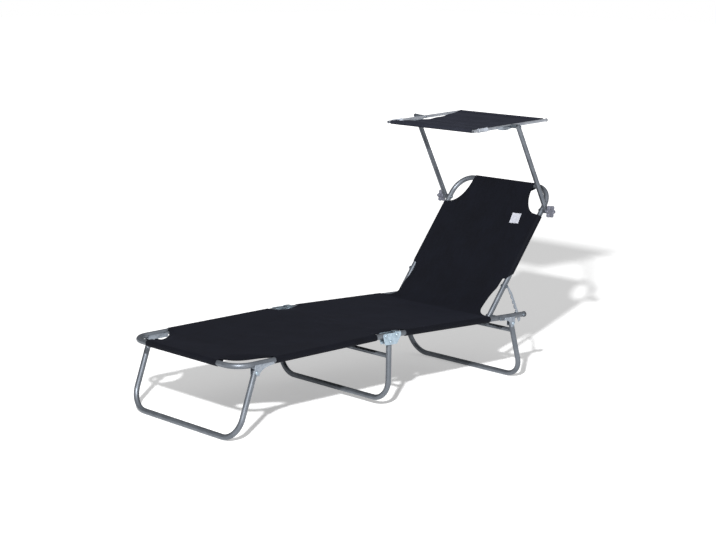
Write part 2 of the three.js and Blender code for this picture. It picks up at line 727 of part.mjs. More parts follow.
function canopyArms(arms) {
  const build = () => {
    const tube = straightTube(ARM_RADIUS, TUBE_WALL, 'y', -OVERRUN, ARM_REACH + OVERRUN);
    const ends = joined(
      block(point(-OVERRUN, 0, -OVERRUN), point(OVERRUN, ARM_REACH, OVERRUN)),
      rodAcross(ARM_RADIUS, -OVERRUN, OVERRUN, 0, 0, TUBE_SIDES),
      rodAcross(ARM_RADIUS, -OVERRUN, OVERRUN, ARM_REACH, 0, TUBE_SIDES),
    );
    const holes = [drillAcross(BOLT_RADIUS, 0), drillAcross(TILT_BOLT_RADIUS, ARM_REACH)];
    return cutBy(common(tube, ends), ...holes);
  };
  pair('canopy_arm', build, 'tube', arms, point(ARM_X, 0));
}

function tiltBolts(arms) {
  const shoulder = [TILT_PLATE_OUTER + FIT_GAP, ARM_INNER - FIT_GAP];
  const inner = SIDE_BAR_X - SIDE_BAR_RADIUS - FIT_GAP;
  const build = (sign) => nuttedBolt(inner, ARM_OUTER + FIT_GAP, sign, shoulder, TILT_BOLT);
  pair('tilt_bolt', build, 'fastener', arms, point(0, ARM_REACH));
}

// Canopy frame

const SIDE_BAR_BACK = CANOPY_BACK + SIDE_BAR_OVERHANG;

function sideBars(canopy) {
  const front = -CANOPY_FRONT - SIDE_BAR_OVERHANG;
  const build = () => cutBy(
    straightTube(SIDE_BAR_RADIUS, CANOPY_TUBE_WALL, 'y', front, SIDE_BAR_BACK),
    drillAcross(TILT_BOLT_RADIUS, 0),
  );
  pair('canopy_side_bar', build, 'tube', canopy, point(SIDE_BAR_X, 0));
}

function crossTube(name, canopy, y) {
  const tube = copedTube(
    CROSS_TUBE_RADIUS, CANOPY_TUBE_WALL, SIDE_BAR_RADIUS, SIDE_BAR_X + SIDE_BAR_X,
  );
  leaf(name, tube, 'tube', canopy, point(0, y));
}

function tiltPlates(canopy) {
  const reach = half(TILT_PLATE_FRONT + TILT_PLATE_BACK);
  const middle = TILT_PLATE_BACK - reach;
  const depth = TILT_PLATE_TOP + TILT_PLATE_FOOT;
  const points = [[TILT_PLATE_BACK, TILT_PLATE_TOP], [-TILT_PLATE_FRONT, TILT_PLATE_TOP]];
  for (let i = 1; i < TUBE_SIDES; i += 1) {
    const angle = (Math.PI * i) / TUBE_SIDES;
    const across = middle - reach * Math.cos(angle);
    points.push([across, TILT_PLATE_TOP - depth * Math.sin(angle)]);
  }
  const build = (sign) => {
    const faces = spanOn(sign, TILT_PLATE_INNER, TILT_PLATE_OUTER);
    return cutBy(pushed(polygon(points), 'x', ...faces), drillAcross(TILT_BOLT_RADIUS, 0));
  };
  pair('tilt_plate', build, 'sheet', canopy, point(0, 0));
}

function connectors(canopy) {
  const wall = boreFor(SIDE_BAR_RADIUS, TUBE_SIDES) + CONNECTOR_WALL;
  const start = CONNECTOR_SETBACK - CANOPY_FRONT;
  const build = () => cutBy(
    pushed(roundShape(wall, TUBE_SIDES), 'y', start, start + CONNECTOR_LENGTH),
    pushed(
      roundShape(boreFor(SIDE_BAR_RADIUS, TUBE_SIDES), TUBE_SIDES), 'y',
      -CANOPY_FRONT - OVERRUN, CANOPY_BACK,
    ),
  );
  pair('canopy_connector', build, 'plastic', canopy, point(SIDE_BAR_X, 0));
}

function canopyCaps(canopy) {
  const build = () => endCap(
    SIDE_BAR_RADIUS, CANOPY_TUBE_WALL, CANOPY_CAP_LENGTH, CANOPY_CAP_PLUG, SIDE_BAR_BACK,
  );
  pair('canopy_cap', build, 'plastic', canopy, point(SIDE_BAR_X, 0));
}

// Fabric. A sling is its sheet and sleeves, trimmed to a plan and bored for the tubes.

const SLEEVE_BORE = boreFor(TUBE_RADIUS, TUBE_SIDES);
const SLEEVE_OUTER = SLEEVE_BORE + SLEEVE_WALL;
const FOOT_SLEEVE_HALF = RAIL_X - FOOT_BEND - FOOT_SLEEVE_SETBACK;
const FOOT_SLEEVE_REACH = FOOT_LEG_REACH + GUSSET_TOE - FOOT_GUSSET_REACH - GUSSET_SLEEVE_GAP;
const SEAT_SLEEVE_END = HINGE_REACH - SEAT_SLEEVE_SETBACK;
const HINGE_NECK_HALF = BACK_INNER - BOLT_HEAD_HEIGHT - HINGE_NECK_GAP;
const BACK_SLEEVE_END = CLAMP_REACH - CLAMP_SLEEVE_GAP;
const TOP_SLEEVE_HALF = BACK_X - BACK_BEND - TOP_SLEEVE_SETBACK;
const CANOPY_CLOTH_HALF = SIDE_BAR_X - SIDE_BAR_RADIUS - CONNECTOR_WALL - CANOPY_CLOTH_GAP;

// The plan is given by its right-hand edge, from one end to the other.
function planOf(edge) {
  const mirrored = edge.map(([x, y]) => [-x, y]).reverse();
  return pushed(polygon([...edge, ...mirrored]), 'z', -OVERRUN - OVERRUN, OVERRUN + OVERRUN);
}

function saggingSheet(spacing, sag, from, to) {
  const steps = CURVE_STEPS + CURVE_STEPS;
  const [upper, lower] = [[], []];
  for (let i = 0; i <= steps; i += 1) {
    const share = (i + i - steps) / steps;
    const z = SLEEVE_OUTER - sag + sag * share * share;
    upper.push([z, share * half(spacing)]);
    lower.push([z - SHEET, share * half(spacing)]);
  }
  return pushed(polygon([...upper, ...lower.reverse()].reverse()), 'y', from, to);
}

function sling(name, parent, spacing, sag, [from, to], edge, bar) {
  const side = half(spacing);
  const reach = Math.abs(bar.y) + OVERRUN;
  const lengthwise = (radius, x, start, end) => pushed(
    roundShape(radius, TUBE_SIDES), 'y', start, end,
  ).translate(x, 0, 0);
  const solids = [saggingSheet(spacing, sag, from, to)];
  const bores = [];
  for (const x of [-side, side]) {
    solids.push(lengthwise(SLEEVE_OUTER, x, from, to));
    bores.push(lengthwise(SLEEVE_BORE, x, -reach, reach));
  }
  if (bar.half > 0) {
    const across = (radius, far) => rodAcross(radius, -far, far, bar.y, 0, TUBE_SIDES);
    solids.push(across(SLEEVE_OUTER, bar.half));
    bores.push(across(SLEEVE_BORE, bar.half + OVERRUN));
  }
  const body = cutBy(common(joined(...solids), planOf(edge)), ...bores);
  leaf(name, body, 'fabric', parent);
}

function footSling(foot) {
  const [inside, outside] = [RAIL_X - SLEEVE_OUTER, RAIL_X + SLEEVE_OUTER + FIT_GAP];
  const barSide = SLEEVE_OUTER - FOOT_REACH;
  const bare = FOOT_PIVOT - MIDDLE_BARE_HALF;
  const hem = -FOOT_SLEEVE_REACH - FOOT_HEM_REACH;
  const edge = [
    [FOOT_SLEEVE_HALF, -FOOT_REACH - OVERRUN],
    ...flattened(
      quarterCurve([FOOT_SLEEVE_HALF, barSide], [inside, hem], [inside, barSide]),
      [inside, barSide], FOOT_HEM_FLAT_SHARE,
    ),
    [inside, -FOOT_SLEEVE_REACH], [outside, -FOOT_SLEEVE_REACH], [outside, bare],
    ...quarterCurve(
      [inside, bare], [inside - MIDDLE_WAIST, FOOT_PIVOT], [inside, FOOT_PIVOT],
    ),
  ];
  const span = [-FOOT_REACH, FOOT_PIVOT - MIDDLE_SPLIT];
  const bar = { y: -FOOT_REACH, half: FOOT_SLEEVE_HALF };
  sling('foot_sling', foot, RAIL_SPACING, SEAT_SAG, span, edge, bar);
}

function seatSling(seat) {
  const [inside, outside] = [RAIL_X - SLEEVE_OUTER, RAIL_X + SLEEVE_OUTER + FIT_GAP];
  const edge = [
    ...quarterCurve([inside - MIDDLE_WAIST, 0], [inside, MIDDLE_BARE_HALF], [inside, 0]),
    [outside, MIDDLE_BARE_HALF], [outside, SEAT_SLEEVE_END],
    ...quarterCurve(
      [inside, SEAT_SLEEVE_END], [HINGE_NECK_HALF, HINGE_REACH], [inside, HINGE_REACH],
    ),
  ];
  const span = [MIDDLE_SPLIT, HINGE_REACH - HINGE_SPLIT];
  sling('seat_sling', seat, RAIL_SPACING, SEAT_SAG, span, edge, { y: HINGE_REACH, half: 0 });
}

function backSling(back) {
  const [inside, outside] = [BACK_X - SLEEVE_OUTER, BACK_X + SLEEVE_OUTER + FIT_GAP];
  const barSide = BACK_REACH - SLEEVE_OUTER;
  const edge = [
    ...quarterCurve([HINGE_NECK_HALF, 0], [inside, BACK_SLEEVE_START], [inside, 0]),
    [outside, BACK_SLEEVE_START], [outside, BACK_SLEEVE_END],
    ...quarterCurve([inside, BACK_SLEEVE_END], [TOP_SLEEVE_HALF, barSide], [inside, barSide]),
    [TOP_SLEEVE_HALF, BACK_REACH + OVERRUN],
  ];
  const bar = { y: BACK_REACH, half: TOP_SLEEVE_HALF };
  sling('back_sling', back, BACK_SPACING, BACK_SAG, [HINGE_SPLIT, BACK_REACH], edge, bar);
}

// The canopy cloth hangs between the sleeves on its two cross tubes, in shallow ridges.
function canopyCloth(canopy) {
  const bore = boreFor(CROSS_TUBE_RADIUS, TUBE_SIDES);
  const crown = bore + SLEEVE_WALL;
  const length = CANOPY_FRONT + CANOPY_BACK;
  const steps = CANOPY_WAVES * CANOPY_WAVE_STEPS;
  const [upper, lower, edge] = [[], [], [[CANOPY_CLOTH_HALF, -CANOPY_FRONT - OVERRUN]]];
  for (let i = 0; i <= steps; i += 1) {
    const share = i / steps;
    const y = share * length - CANOPY_FRONT;
    const wave = half(CANOPY_WAVE_HEIGHT);
    const ridge = wave * Math.cos(FULL_TURN * CANOPY_WAVES * share) - wave;
    const z = crown + ridge - CANOPY_SAG * Math.sin(Math.PI * share);
    upper.push([y, z]);
    lower.push([y, z - SHEET]);
    edge.push([CANOPY_CLOTH_HALF - CANOPY_WAIST * Math.sin(Math.PI * share), y]);
  }
  edge.push([CANOPY_CLOTH_HALF, CANOPY_BACK + OVERRUN]);
  const far = CANOPY_CLOTH_HALF;
  const tubes = (radius, reach) => [-CANOPY_FRONT, CANOPY_BACK].map(
    (y) => rodAcross(radius, -reach, reach, y, 0, TUBE_SIDES),
  );
  const sheet = pushed(polygon([...lower, ...upper.reverse()]), 'x', -far, far);
  const body = common(joined(sheet, ...tubes(crown, far)), planOf(edge));
  const cloth = cutBy(body, ...tubes(bore, far + OVERRUN));
  leaf('canopy_cloth', cloth, 'canopy', canopy);
}

// Assembly

function sunLounger() {
  const whole = new THREE.Group();
  const seat = group(whole, 0, MIDDLE_HEIGHT, -SEAT_SLOPE);
  const foot = group(seat, -FOOT_PIVOT, 0, SEAT_SLOPE + FOOT_SLOPE);
  const back = group(seat, HINGE_REACH, 0, BACK_ANGLE);
  const upright = THREE.MathUtils.radToDeg(QUARTER_TURN);

  footFrame(foot);
  seatRails(seat);
  railCaps(seat);
  backFrame(back);

  middleBrackets(seat);
  rivets('foot_rivet', seat, -FOOT_PIVOT, 0);
  rivets('seat_rivet', seat, SEAT_RIVET, 0);

  const footLeg = group(
    foot, -FOOT_LEG_REACH, -LEG_DROP, -upright - FOOT_LEG_SPLAY - FOOT_SLOPE,
  );
  gussets('foot_leg_bracket', foot, -FOOT_LEG_REACH, 1, FOOT_GUSSET_REACH, FOOT_GUSSET_DEPTH);
  rivets('foot_leg_rivet', foot, -FOOT_LEG_REACH, -LEG_DROP);
  legFrame('foot_leg', footLeg, FOOT_LEG_SPLAY, 0);

  const middleLeg = group(seat, -MIDDLE_LEG_SHIFT, -MIDDLE_LEG_DROP, SEAT_SLOPE - upright);
  rivets('middle_leg_rivet', seat, -MIDDLE_LEG_SHIFT, -MIDDLE_LEG_DROP);
  legFrame('middle_leg', middleLeg, 0, MIDDLE_LEG_LIFT);
  crossbar('middle_leg_crossbar', middleLeg, MIDDLE_CROSSBAR_REACH);

  const rearLeg = group(
    seat, REAR_LEG_REACH, -LEG_DROP, REAR_LEG_SPLAY + SEAT_SLOPE - upright,
  );
  gussets('rear_leg_bracket', seat, REAR_LEG_REACH, -1, REAR_GUSSET_REACH, REAR_GUSSET_DEPTH);
  rivets('rear_leg_rivet', seat, REAR_LEG_REACH, -LEG_DROP);
  legFrame('rear_leg', rearLeg, -REAR_LEG_SPLAY, 0);
  crossbar('rear_leg_crossbar', rearLeg, REAR_CROSSBAR_REACH);

  hingeBolts(seat);
  catchPins(seat);
  ratchetBolts(back);
  clampWashers(back);
  clampBolts(back);
  for (const [side, sign] of [['left', -1], ['right', 1]]) {
    const towardPin = half(-BACK_ANGLE) - upright;
    ratchetBars(group(back, RATCHET_ARM, 0, towardPin), sign, side);
    knob(back, sign, side);
  }

  const arms = group(back, CLAMP_REACH, 0, ARM_ANGLE);
  const canopy = group(arms, ARM_REACH, 0, -CANOPY_ANGLE);
  canopyArms(arms);
  tiltBolts(arms);
  sideBars(canopy);
  crossTube('canopy_front_tube', canopy, -CANOPY_FRONT);
  crossTube('canopy_back_tube', canopy, CANOPY_BACK);
  tiltPlates(canopy);
  connectors(canopy);
  canopyCaps(canopy);

  footSling(foot);
  seatSling(seat);
  backSling(back);
  canopyCloth(canopy);
  return whole;
}

// The origin is on the floor under the middle of the whole.
function centred(object) {
  const box = new THREE.Box3().setFromObject(object, true);
  const middle = box.getCenter(point(0, 0));
  object.position.set(-middle.x, -middle.y, -box.min.z);
  const root = new THREE.Group();
  root.add(object);
  return root;
}

export default centred(sunLounger());
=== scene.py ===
# Folding sun lounger with a clamp-on canopy, dressed over its CAD frame. Sizes are in
# millimetres until a section's matrix turns them to metres; the foot end is towards -Y.

from bisect import bisect_left
from math import acos, atan2, cos, hypot, pi, radians, sin, sqrt, tan

import bmesh
import bpy
from mathutils import Matrix, Vector, noise


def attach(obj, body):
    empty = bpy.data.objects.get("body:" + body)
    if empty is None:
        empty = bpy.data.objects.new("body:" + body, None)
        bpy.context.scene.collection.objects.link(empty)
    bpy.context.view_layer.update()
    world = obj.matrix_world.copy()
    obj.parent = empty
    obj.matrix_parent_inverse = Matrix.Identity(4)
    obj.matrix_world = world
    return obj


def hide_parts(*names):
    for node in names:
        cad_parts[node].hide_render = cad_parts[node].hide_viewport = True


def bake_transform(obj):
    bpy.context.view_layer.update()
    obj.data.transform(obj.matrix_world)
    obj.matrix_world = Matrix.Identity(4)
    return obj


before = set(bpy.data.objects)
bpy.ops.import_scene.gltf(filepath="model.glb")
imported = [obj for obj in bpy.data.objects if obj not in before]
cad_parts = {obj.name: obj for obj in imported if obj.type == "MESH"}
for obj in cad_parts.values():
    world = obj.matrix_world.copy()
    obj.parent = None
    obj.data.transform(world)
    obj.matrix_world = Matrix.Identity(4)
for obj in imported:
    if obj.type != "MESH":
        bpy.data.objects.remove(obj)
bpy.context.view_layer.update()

MM = 0.001
SIDES = {"left": -1, "right": 1}

# Fits and tubes, as in the part's source
FIT_GAP = 0.3
TUBE_RADIUS = 9.5
TUBE_WALL = 1
RAIL_X = 280
BACK_X = 235
CROSSBAR_RADIUS = 8
ARM_RADIUS = 9
ARM_X = 256.6
SIDE_BAR_RADIUS = 5.5
SIDE_BAR_X = 215
CROSS_TUBE_RADIUS = 5

# Reaches along the sections
RAIL_START = 10
RAIL_END = 675
FOOT_REACH = 637
FOOT_BEND = 64
BACK_REACH = 545
BACK_BEND = 74
LEG_BEND = 74
CANOPY_FRONT = 181.2
CANOPY_BACK = 188.8
BAR_OVERHANG = 9
CANOPY_END = CANOPY_BACK + BAR_OVERHANG
MIDDLE_CROSSBAR_REACH = 50.6
REAR_CROSSBAR_REACH = 28.75

# Where rivets and bolts lie along their section, and below its line
FOLD_REACH = 27
SEAT_RIVET_REACH = 24
MIDDLE_LEG_REACH = 4
MIDDLE_LEG_DROP = 22
FOOT_LEG_REACH = 565
REAR_LEG_REACH = 610
LEG_DROP = 26
HINGE_REACH = 540
RATCHET_ARM = 126
CLAMP_REACH = 450
ARM_REACH = 359.9


def section(parent, y, z, rise):
    """The frame of a section hinged to parent at (y, z) that rises by these degrees."""
    turn = Matrix.Rotation(radians(rise), 4, "X")
    return parent @ Matrix.Translation((0, y, z)) @ turn


SEAT = section(Matrix.Scale(MM, 4), y=-101.541, z=258.5, rise=-1.5)
FOOT = section(SEAT, -FOLD_REACH, 0, rise=2.7)
FOOT_LEG = section(FOOT, -FOOT_LEG_REACH, -LEG_DROP, rise=-110.2)
MIDDLE_LEG = section(SEAT, -MIDDLE_LEG_REACH, -MIDDLE_LEG_DROP, rise=-88.5)
REAR_LEG = section(SEAT, REAR_LEG_REACH, -LEG_DROP, rise=-71.8)
BACK = section(SEAT, HINGE_REACH, 0, rise=54.6)
ARMS = section(BACK, CLAMP_REACH, 0, rise=64.5)
CANOPY = section(ARMS, ARM_REACH, 0, rise=-114.7)


# Materials

def linear(code):
    """An sRGB hex colour as linear red, green, blue and alpha."""
    shares = [int(code[i:i + 2], 16) / 255 for i in (1, 3, 5)]
    return (*(s / 12.92 if s <= 0.04045 else ((s + 0.055) / 1.055) ** 2.4 for s in shares), 1)


def add(tree, kind, inputs, **settings):
    """A shader node with its settings, its values and the links that reach it."""
    made = tree.nodes.new("ShaderNode" + kind)
    for name, value in settings.items():
        setattr(made, name, value)
    for name, value in inputs.items():
        if isinstance(value, bpy.types.NodeSocket):
            tree.links.new(value, made.inputs[name])
        else:
            made.inputs[name].default_value = value
    return made


def finish(name, space="Object", **sockets):
    """A material whose constants are set on its Principled shader, its node tree and the
    space that its patterns lie in."""
    material = bpy.data.materials.new(name)
    material.use_nodes = True
    tree = material.node_tree
    for socket, value in sockets.items():
        tree.nodes["Principled BSDF"].inputs[socket.replace("_", " ")].default_value = value
    return material, tree, add(tree, "TexCoord", {}).outputs[space]


def ramp(tree, fac, low, high, start, end):
    """Two colours blended over a stretch of fac."""
    made = add(tree, "ValToRGB", {"Fac": fac})
    made.color_ramp.elements[0].position, made.color_ramp.elements[1].position = start, end
    made.color_ramp.elements[0].color, made.color_ramp.elements[1].color = low, high
    return made.outputs["Color"]


def grey(value):
    return (value, value, value, 1)


def lumps(tree, place, pitch, detail):
    """Noise whose lumps are about pitch millimetres apart."""
    return add(tree, "TexNoise", {"Vector": place, "Scale": 1 / (pitch * MM),
                                  "Detail": detail}).outputs["Fac"]


def bands(tree, place, thread, way, distortion, detail_scale=1.0):
    """Waves along one direction, which come 2 pi threads of this many millimetres apart."""
    return add(tree, "TexWave", {"Vector": place, "Scale": 1 / (thread * MM) / 20,
                                 "Distortion": distortion, "Detail Scale": detail_scale},
               bands_direction=way).outputs["Fac"]


def spread(tree, value, low, high, start=0.0, end=1.0, **settings):
    """A value from start to end, turned into one from low to high."""
    return add(tree, "MapRange", {"Value": value, "From Min": start, "From Max": end,
                                  "To Min": low, "To Max": high}, **settings).outputs["Result"]


def times(tree, first, second):
    """Two colours multiplied."""
    return add(tree, "Mix", {"Factor": 1.0, "A": first, "B": second}, data_type="RGBA",
               blend_type="MULTIPLY").outputs["Result"]


def dress(material, colour, height, strength, depth, rough=None):
    """Gives a material its colour, a bump this many millimetres deep and its roughness."""
    tree = material.node_tree
    shader = tree.nodes["Principled BSDF"]
    tree.links.new(colour, shader.inputs["Base Color"])
    bump = add(tree, "Bump", {"Height": height, "Strength": strength, "Distance": depth * MM})
    tree.links.new(bump.outputs["Normal"], shader.inputs["Normal"])
    if rough:
        tree.links.new(rough, shader.inputs["Roughness"])
    return material


def silver_powder_coat(name, light, dark):
    """Satin silver powder coat, whose faint orange peel breaks up a long highlight."""
    material, tree, place = finish(name, Metallic=0.72)
    peel, cloud = lumps(tree, place, 1.6, 1.0), lumps(tree, place, 45, 3.0)
    tone = ramp(tree, cloud, linear(dark), linear(light), 0.3, 0.7)
    glint = ramp(tree, lumps(tree, place, 0.9, 0.0), grey(0.94), grey(1.0), 0.35, 0.65)
    return dress(material, times(tree, tone, glint), peel, 0.25, 0.05,
                 spread(tree, cloud, 0.4, 0.5))


def zinc_plate(name, light, dark, roughness):
    """Zinc plate, with a soft mottle and fine rolling lines that smear the highlight."""
    material, tree, place = finish(name, Metallic=0.92)
    tone = ramp(tree, lumps(tree, place, 9, 4.0), linear(dark), linear(light), 0.32, 0.68)
    stretched = add(tree, "Mapping", {"Vector": place, "Scale": (1, 0.08, 1)})
    lines = lumps(tree, stretched.outputs["Vector"], 0.8, 2.0)
    return dress(material, tone, lines, 0.2, 0.03,
                 spread(tree, lines, roughness - 0.08, roughness + 0.08))


def moulded_plastic(name, light, dark, roughness):
    """Injection-moulded polypropylene with a fine spark-eroded grain that dulls the gloss."""
    material, tree, place = finish(name, IOR=1.49)
    grain = add(tree, "TexVoronoi", {"Vector": place, "Scale": 1 / (1.1 * MM)})
    cloud = lumps(tree, place, 14, 3.0)
    tone = ramp(tree, cloud, linear(dark), linear(light), 0.3, 0.7)
    return dress(material, tone, grain.outputs["Distance"], 0.3, 0.08,
                 spread(tree, cloud, roughness - 0.05, roughness + 0.06))


def woven_polyester(name, light, dark, thread, sheen):
    """Coated polyester in plain weave: dull and faintly ribbed. Its waves come about 9 mm
    apart, many times too coarse, since the real pitch of 0.6 mm would not show."""
    material, tree, cut = finish(
        name, "UV", Roughness=0.8, IOR=1.45, Specular_IOR_Level=0.12, Sheen_Weight=sheen,
        Sheen_Roughness=0.4, Sheen_Tint=linear("#626885"))
    warp, weft = (bands(tree, cut, thread, way, 0.35, 2.0) for way in "XY")
    weave = add(tree, "Math", {0: warp, 1: weft}, operation="MULTIPLY").outputs["Value"]
    slub = add(tree, "Mapping", {"Vector": cut, "Scale": (1, 0.12, 1)}).outputs["Vector"]
    cloud = add(tree, "Mix", {"Factor": 0.45, "A": lumps(tree, slub, 6, 4.0),
                              "B": lumps(tree, cut, 90, 5.0)}, data_type="FLOAT")
    tone = ramp(tree, cloud.outputs["Result"], linear(dark), linear(light), 0.36, 0.64)
    # Painted shade: the cloth's colour is darkened in the hollows between the threads, where the
    # weave would shade itself.
    shade = ramp(tree, weave, grey(0.88), grey(1.0), 0.0, 0.5)
    return dress(material, times(tree, tone, shade), weave, 0.45, 0.2)


def ribbed_satin(name, light, dark):
    """Woven label tape: fine cross ribs give it a silky, slightly streaked white."""
    material, tree, place = finish(name, Roughness=0.5, IOR=1.45, Sheen_Weight=0.1)
    tone = ramp(tree, lumps(tree, place, 7, 3.0), linear(dark), linear(light), 0.35, 0.65)
    return dress(material, tone, bands(tree, place, 1.2, "X", 0.4), 0.3, 0.08)


TUBE_STEEL = silver_powder_coat("silver powder coat on steel tube", "#6e737a", "#5d6269")
BAR_STEEL = silver_powder_coat("bright silver paint on the canopy's tubes", "#a3a7ae", "#8f949c")
BRACKET_STEEL = zinc_plate("bright zinc plate on the middle brackets", "#aebfcb", "#93a5b3",
                           0.34)
SHEET_STEEL = zinc_plate("dull zinc plate on pressed steel", "#9aa1aa", "#838b95", 0.38)
FASTENER = zinc_plate("zinc plate on turned steel", "#70777f", "#5d656d", 0.5)
RIVET_STEEL = zinc_plate("zinc plate on cold-headed rivets", "#a9b7c1", "#93a2ae", 0.45)
CAP_PLASTIC = moulded_plastic("moulded dark grey polypropylene", "#3a3c44", "#2e3037", 0.62)
PALE_PLASTIC = moulded_plastic("moulded pale grey polypropylene", "#a4a9b2", "#9298a2", 0.55)
KNOB_PLASTIC = moulded_plastic("moulded mid grey polypropylene", "#62646f", "#535560", 0.55)
LABEL_SATIN = ribbed_satin("white satin label tape", "#b4b6be", "#a3a5af")
SLING_FABRIC = woven_polyester("coated polyester weave in black navy", "#0d0f17", "#090a10",
                               1.4, 0.06)
CANOPY_FABRIC = woven_polyester("coated polyester weave in slate", "#282a34", "#1f2129",
                                1.4, 0.05)


# Meshes

WELD = 0.001  # points closer than this become one


def loft(rings, along=False):
    """Faces over closed rings of points; along closes the row of rings too."""
    count, length = len(rings[0]), len(rings)
    faces = []
    for i in range(length if along else length - 1):
        for j in range(count):
            near, far = i * count, (i + 1) % length * count
            faces.append((near + j, near + (j + 1) % count, far + (j + 1) % count, far + j))
    return [point for ring in rings for point in ring], faces


def baked(name, shape):
    """The mesh of a finished bmesh."""
    mesh = bpy.data.meshes.new(name)
    shape.to_mesh(mesh)
    shape.free()
    return mesh


def placed(name, data):
    """A new object in the scene."""
    made = bpy.data.objects.new(name, data)
    bpy.context.scene.collection.objects.link(made)
    return made


def mesh_of(name, solids, matrix):
    """One mesh from solids in a section's millimetres."""
    shape = bmesh.new()
    for points, faces in solids:
        verts = [shape.verts.new(matrix @ Vector(point)) for point in points]
        for face in faces:
            shape.faces.new([verts[i] for i in face])
    bmesh.ops.remove_doubles(shape, verts=shape.verts, dist=WELD * MM)
    bmesh.ops.recalc_face_normals(shape, faces=shape.faces)
    return baked(name, shape)


def piece(mesh, material, nodes=(), body=None, sharp=40):
    """A scene object for mesh, which stands for the CAD nodes and rides on body. Edges
    that turn by more than sharp degrees stay crisp."""
    made = placed(mesh.name, mesh)
    mesh.materials.append(material)
    mesh.shade_smooth()
    mesh.set_sharp_from_angle(angle=radians(sharp))
    if nodes:
        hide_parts(*nodes)
    if body:
        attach(made, body)
    return made


# Tubes

ROUND = 48  # points round a tube
BEND_STEP = radians(4)
UP = Vector((0, 0, 1))
CAD_SIDES = 16  # of a CAD tube, which lies on one of its flats
MIDDLE_LEG_LIFT = 20  # over the floor, since the empty lounger is arched


def bent_path(corners, bend=0):
    """Places and directions along straight runs joined by round bends."""
    corners = [Vector(corner) for corner in corners]
    path = [(corners[0], (corners[1] - corners[0]).normalized())]
    for before, corner, after in zip(corners, corners[1:], corners[2:]):
        inward, outward = (corner - before).normalized(), (after - corner).normalized()
        angle = inward.angle(outward)
        side = (outward - inward * cos(angle)).normalized()
        centre = corner - inward * bend * tan(angle / 2) + side * bend
        steps = round(angle / BEND_STEP)
        for step in range(steps + 1):
            turn = angle * step / steps
            place = centre - side * bend * cos(turn) + inward * bend * sin(turn)
            path.append((place, inward * cos(turn) + side * sin(turn)))
    path.append((corners[-1], (corners[-1] - corners[-2]).normalized()))
    return path


def flat_end(height):
    """A tube's end cut square."""
    return 0


def nose(radius):
    """A tube's end rounded on a pivot, as far past it as the radius allows."""
    return lambda height: sqrt(max(radius * radius - height * height, 0))


def cope(radius):
    """A tube's end shaped to fit round another of this radius."""
    return lambda height: -nose(radius + FIT_GAP)(height)


def tube(path, radius, shape=flat_end):
    """A round tube with its bore along path; shape sets its ends by height on the ring."""
    def ring(index, size):
        place, ahead = path[index]
        side = ahead.cross(UP)
        points = []
        for k in range(ROUND):
            across, height = size * cos(2 * pi * k / ROUND), size * sin(2 * pi * k / ROUND)
            point = place + side * across + UP * height
            if index == 0:
                point = point - ahead * shape(height)
            if index == len(path) - 1:
                point = point + ahead * shape(height)
            points.append(point)
        return points

    order = range(len(path))
    outside = [ring(i, radius) for i in order]
    bore = [ring(i, radius - TUBE_WALL) for i in reversed(order)]
    return loft(outside + bore, along=True)


def u_tube(half, reach, bend, way=1):
    """A U of frame tube that opens on its pivots and reaches away from them along way."""
    side = way * half
    corners = ((-side, 0, 0), (-side, way * reach, 0), (side, way * reach, 0), (side, 0, 0))
    return tube(bent_path(corners, bend), TUBE_RADIUS, nose(TUBE_RADIUS))


def straight_tube(start, end, radius, shape=flat_end):
    return tube(bent_path((start, end)), radius, shape)


def cross_tube(half, y, radius, other):
    """A tube between two side tubes of radius other, with its ends shaped to fit them."""
    return straight_tube((-half, y, 0), (half, y, 0), radius, cope(other))


def tube_piece(name, solid, matrix, body, node, paint=TUBE_STEEL):
    return piece(mesh_of(name, [solid], matrix), paint, [node], body)


tube_piece("foot_frame_tube", u_tube(RAIL_X, FOOT_REACH, FOOT_BEND, -1), FOOT, "foot",
           "foot_frame")
tube_piece("back_frame_tube", u_tube(BACK_X, BACK_REACH, BACK_BEND), BACK, "back",
           "back_frame")


def leg_reach(matrix, lift):
    """Along a leg from its rivets to the centre line of its floor bar."""
    floor_line = TUBE_RADIUS * cos(pi / CAD_SIDES)
    top = matrix.translation.z / MM
    drop = -(matrix.to_3x3() @ Vector((0, 1, 0))).normalized().z
    return (top - floor_line - lift) / drop


for name, matrix, lift in (("foot_leg", FOOT_LEG, 0), ("middle_leg", MIDDLE_LEG, MIDDLE_LEG_LIFT),
                           ("rear_leg", REAR_LEG, 0)):
    tube_piece(name + "_tube", u_tube(RAIL_X, leg_reach(matrix, lift), LEG_BEND), matrix, name,
               name)

for name, matrix, reach in (("middle_leg", MIDDLE_LEG, MIDDLE_CROSSBAR_REACH),
                            ("rear_leg", REAR_LEG, REAR_CROSSBAR_REACH)):
    tube_piece(name + "_crossbar_tube", cross_tube(RAIL_X, reach, CROSSBAR_RADIUS, TUBE_RADIUS),
               matrix, name, name + "_crossbar")

for side, sign in SIDES.items():
    rail = straight_tube((sign * RAIL_X, RAIL_START, 0), (sign * RAIL_X, RAIL_END, 0),
                         TUBE_RADIUS)
    tube_piece("seat_rail_tube_" + side, rail, SEAT, "seat", "seat_rail_" + side)
    arm = straight_tube((sign * ARM_X, 0, 0), (sign * ARM_X, ARM_REACH, 0), ARM_RADIUS,
                        nose(ARM_RADIUS))
    tube_piece("canopy_arm_tube_" + side, arm, ARMS, "arms", "canopy_arm_" + side)
    bar = straight_tube((sign * SIDE_BAR_X, -CANOPY_FRONT - BAR_OVERHANG, 0),
                        (sign * SIDE_BAR_X, CANOPY_END, 0), SIDE_BAR_RADIUS)
    tube_piece("canopy_side_bar_tube_" + side, bar, CANOPY, "canopy",
               "canopy_side_bar_" + side, BAR_STEEL)

for name, y in (("front", -CANOPY_FRONT), ("back", CANOPY_BACK)):
    bar = cross_tube(SIDE_BAR_X, y, CROSS_TUBE_RADIUS, SIDE_BAR_RADIUS)
    tube_piece(f"canopy_{name}_bar_tube", bar, CANOPY, "canopy", f"canopy_{name}_tube",
               BAR_STEEL)


# Fabric

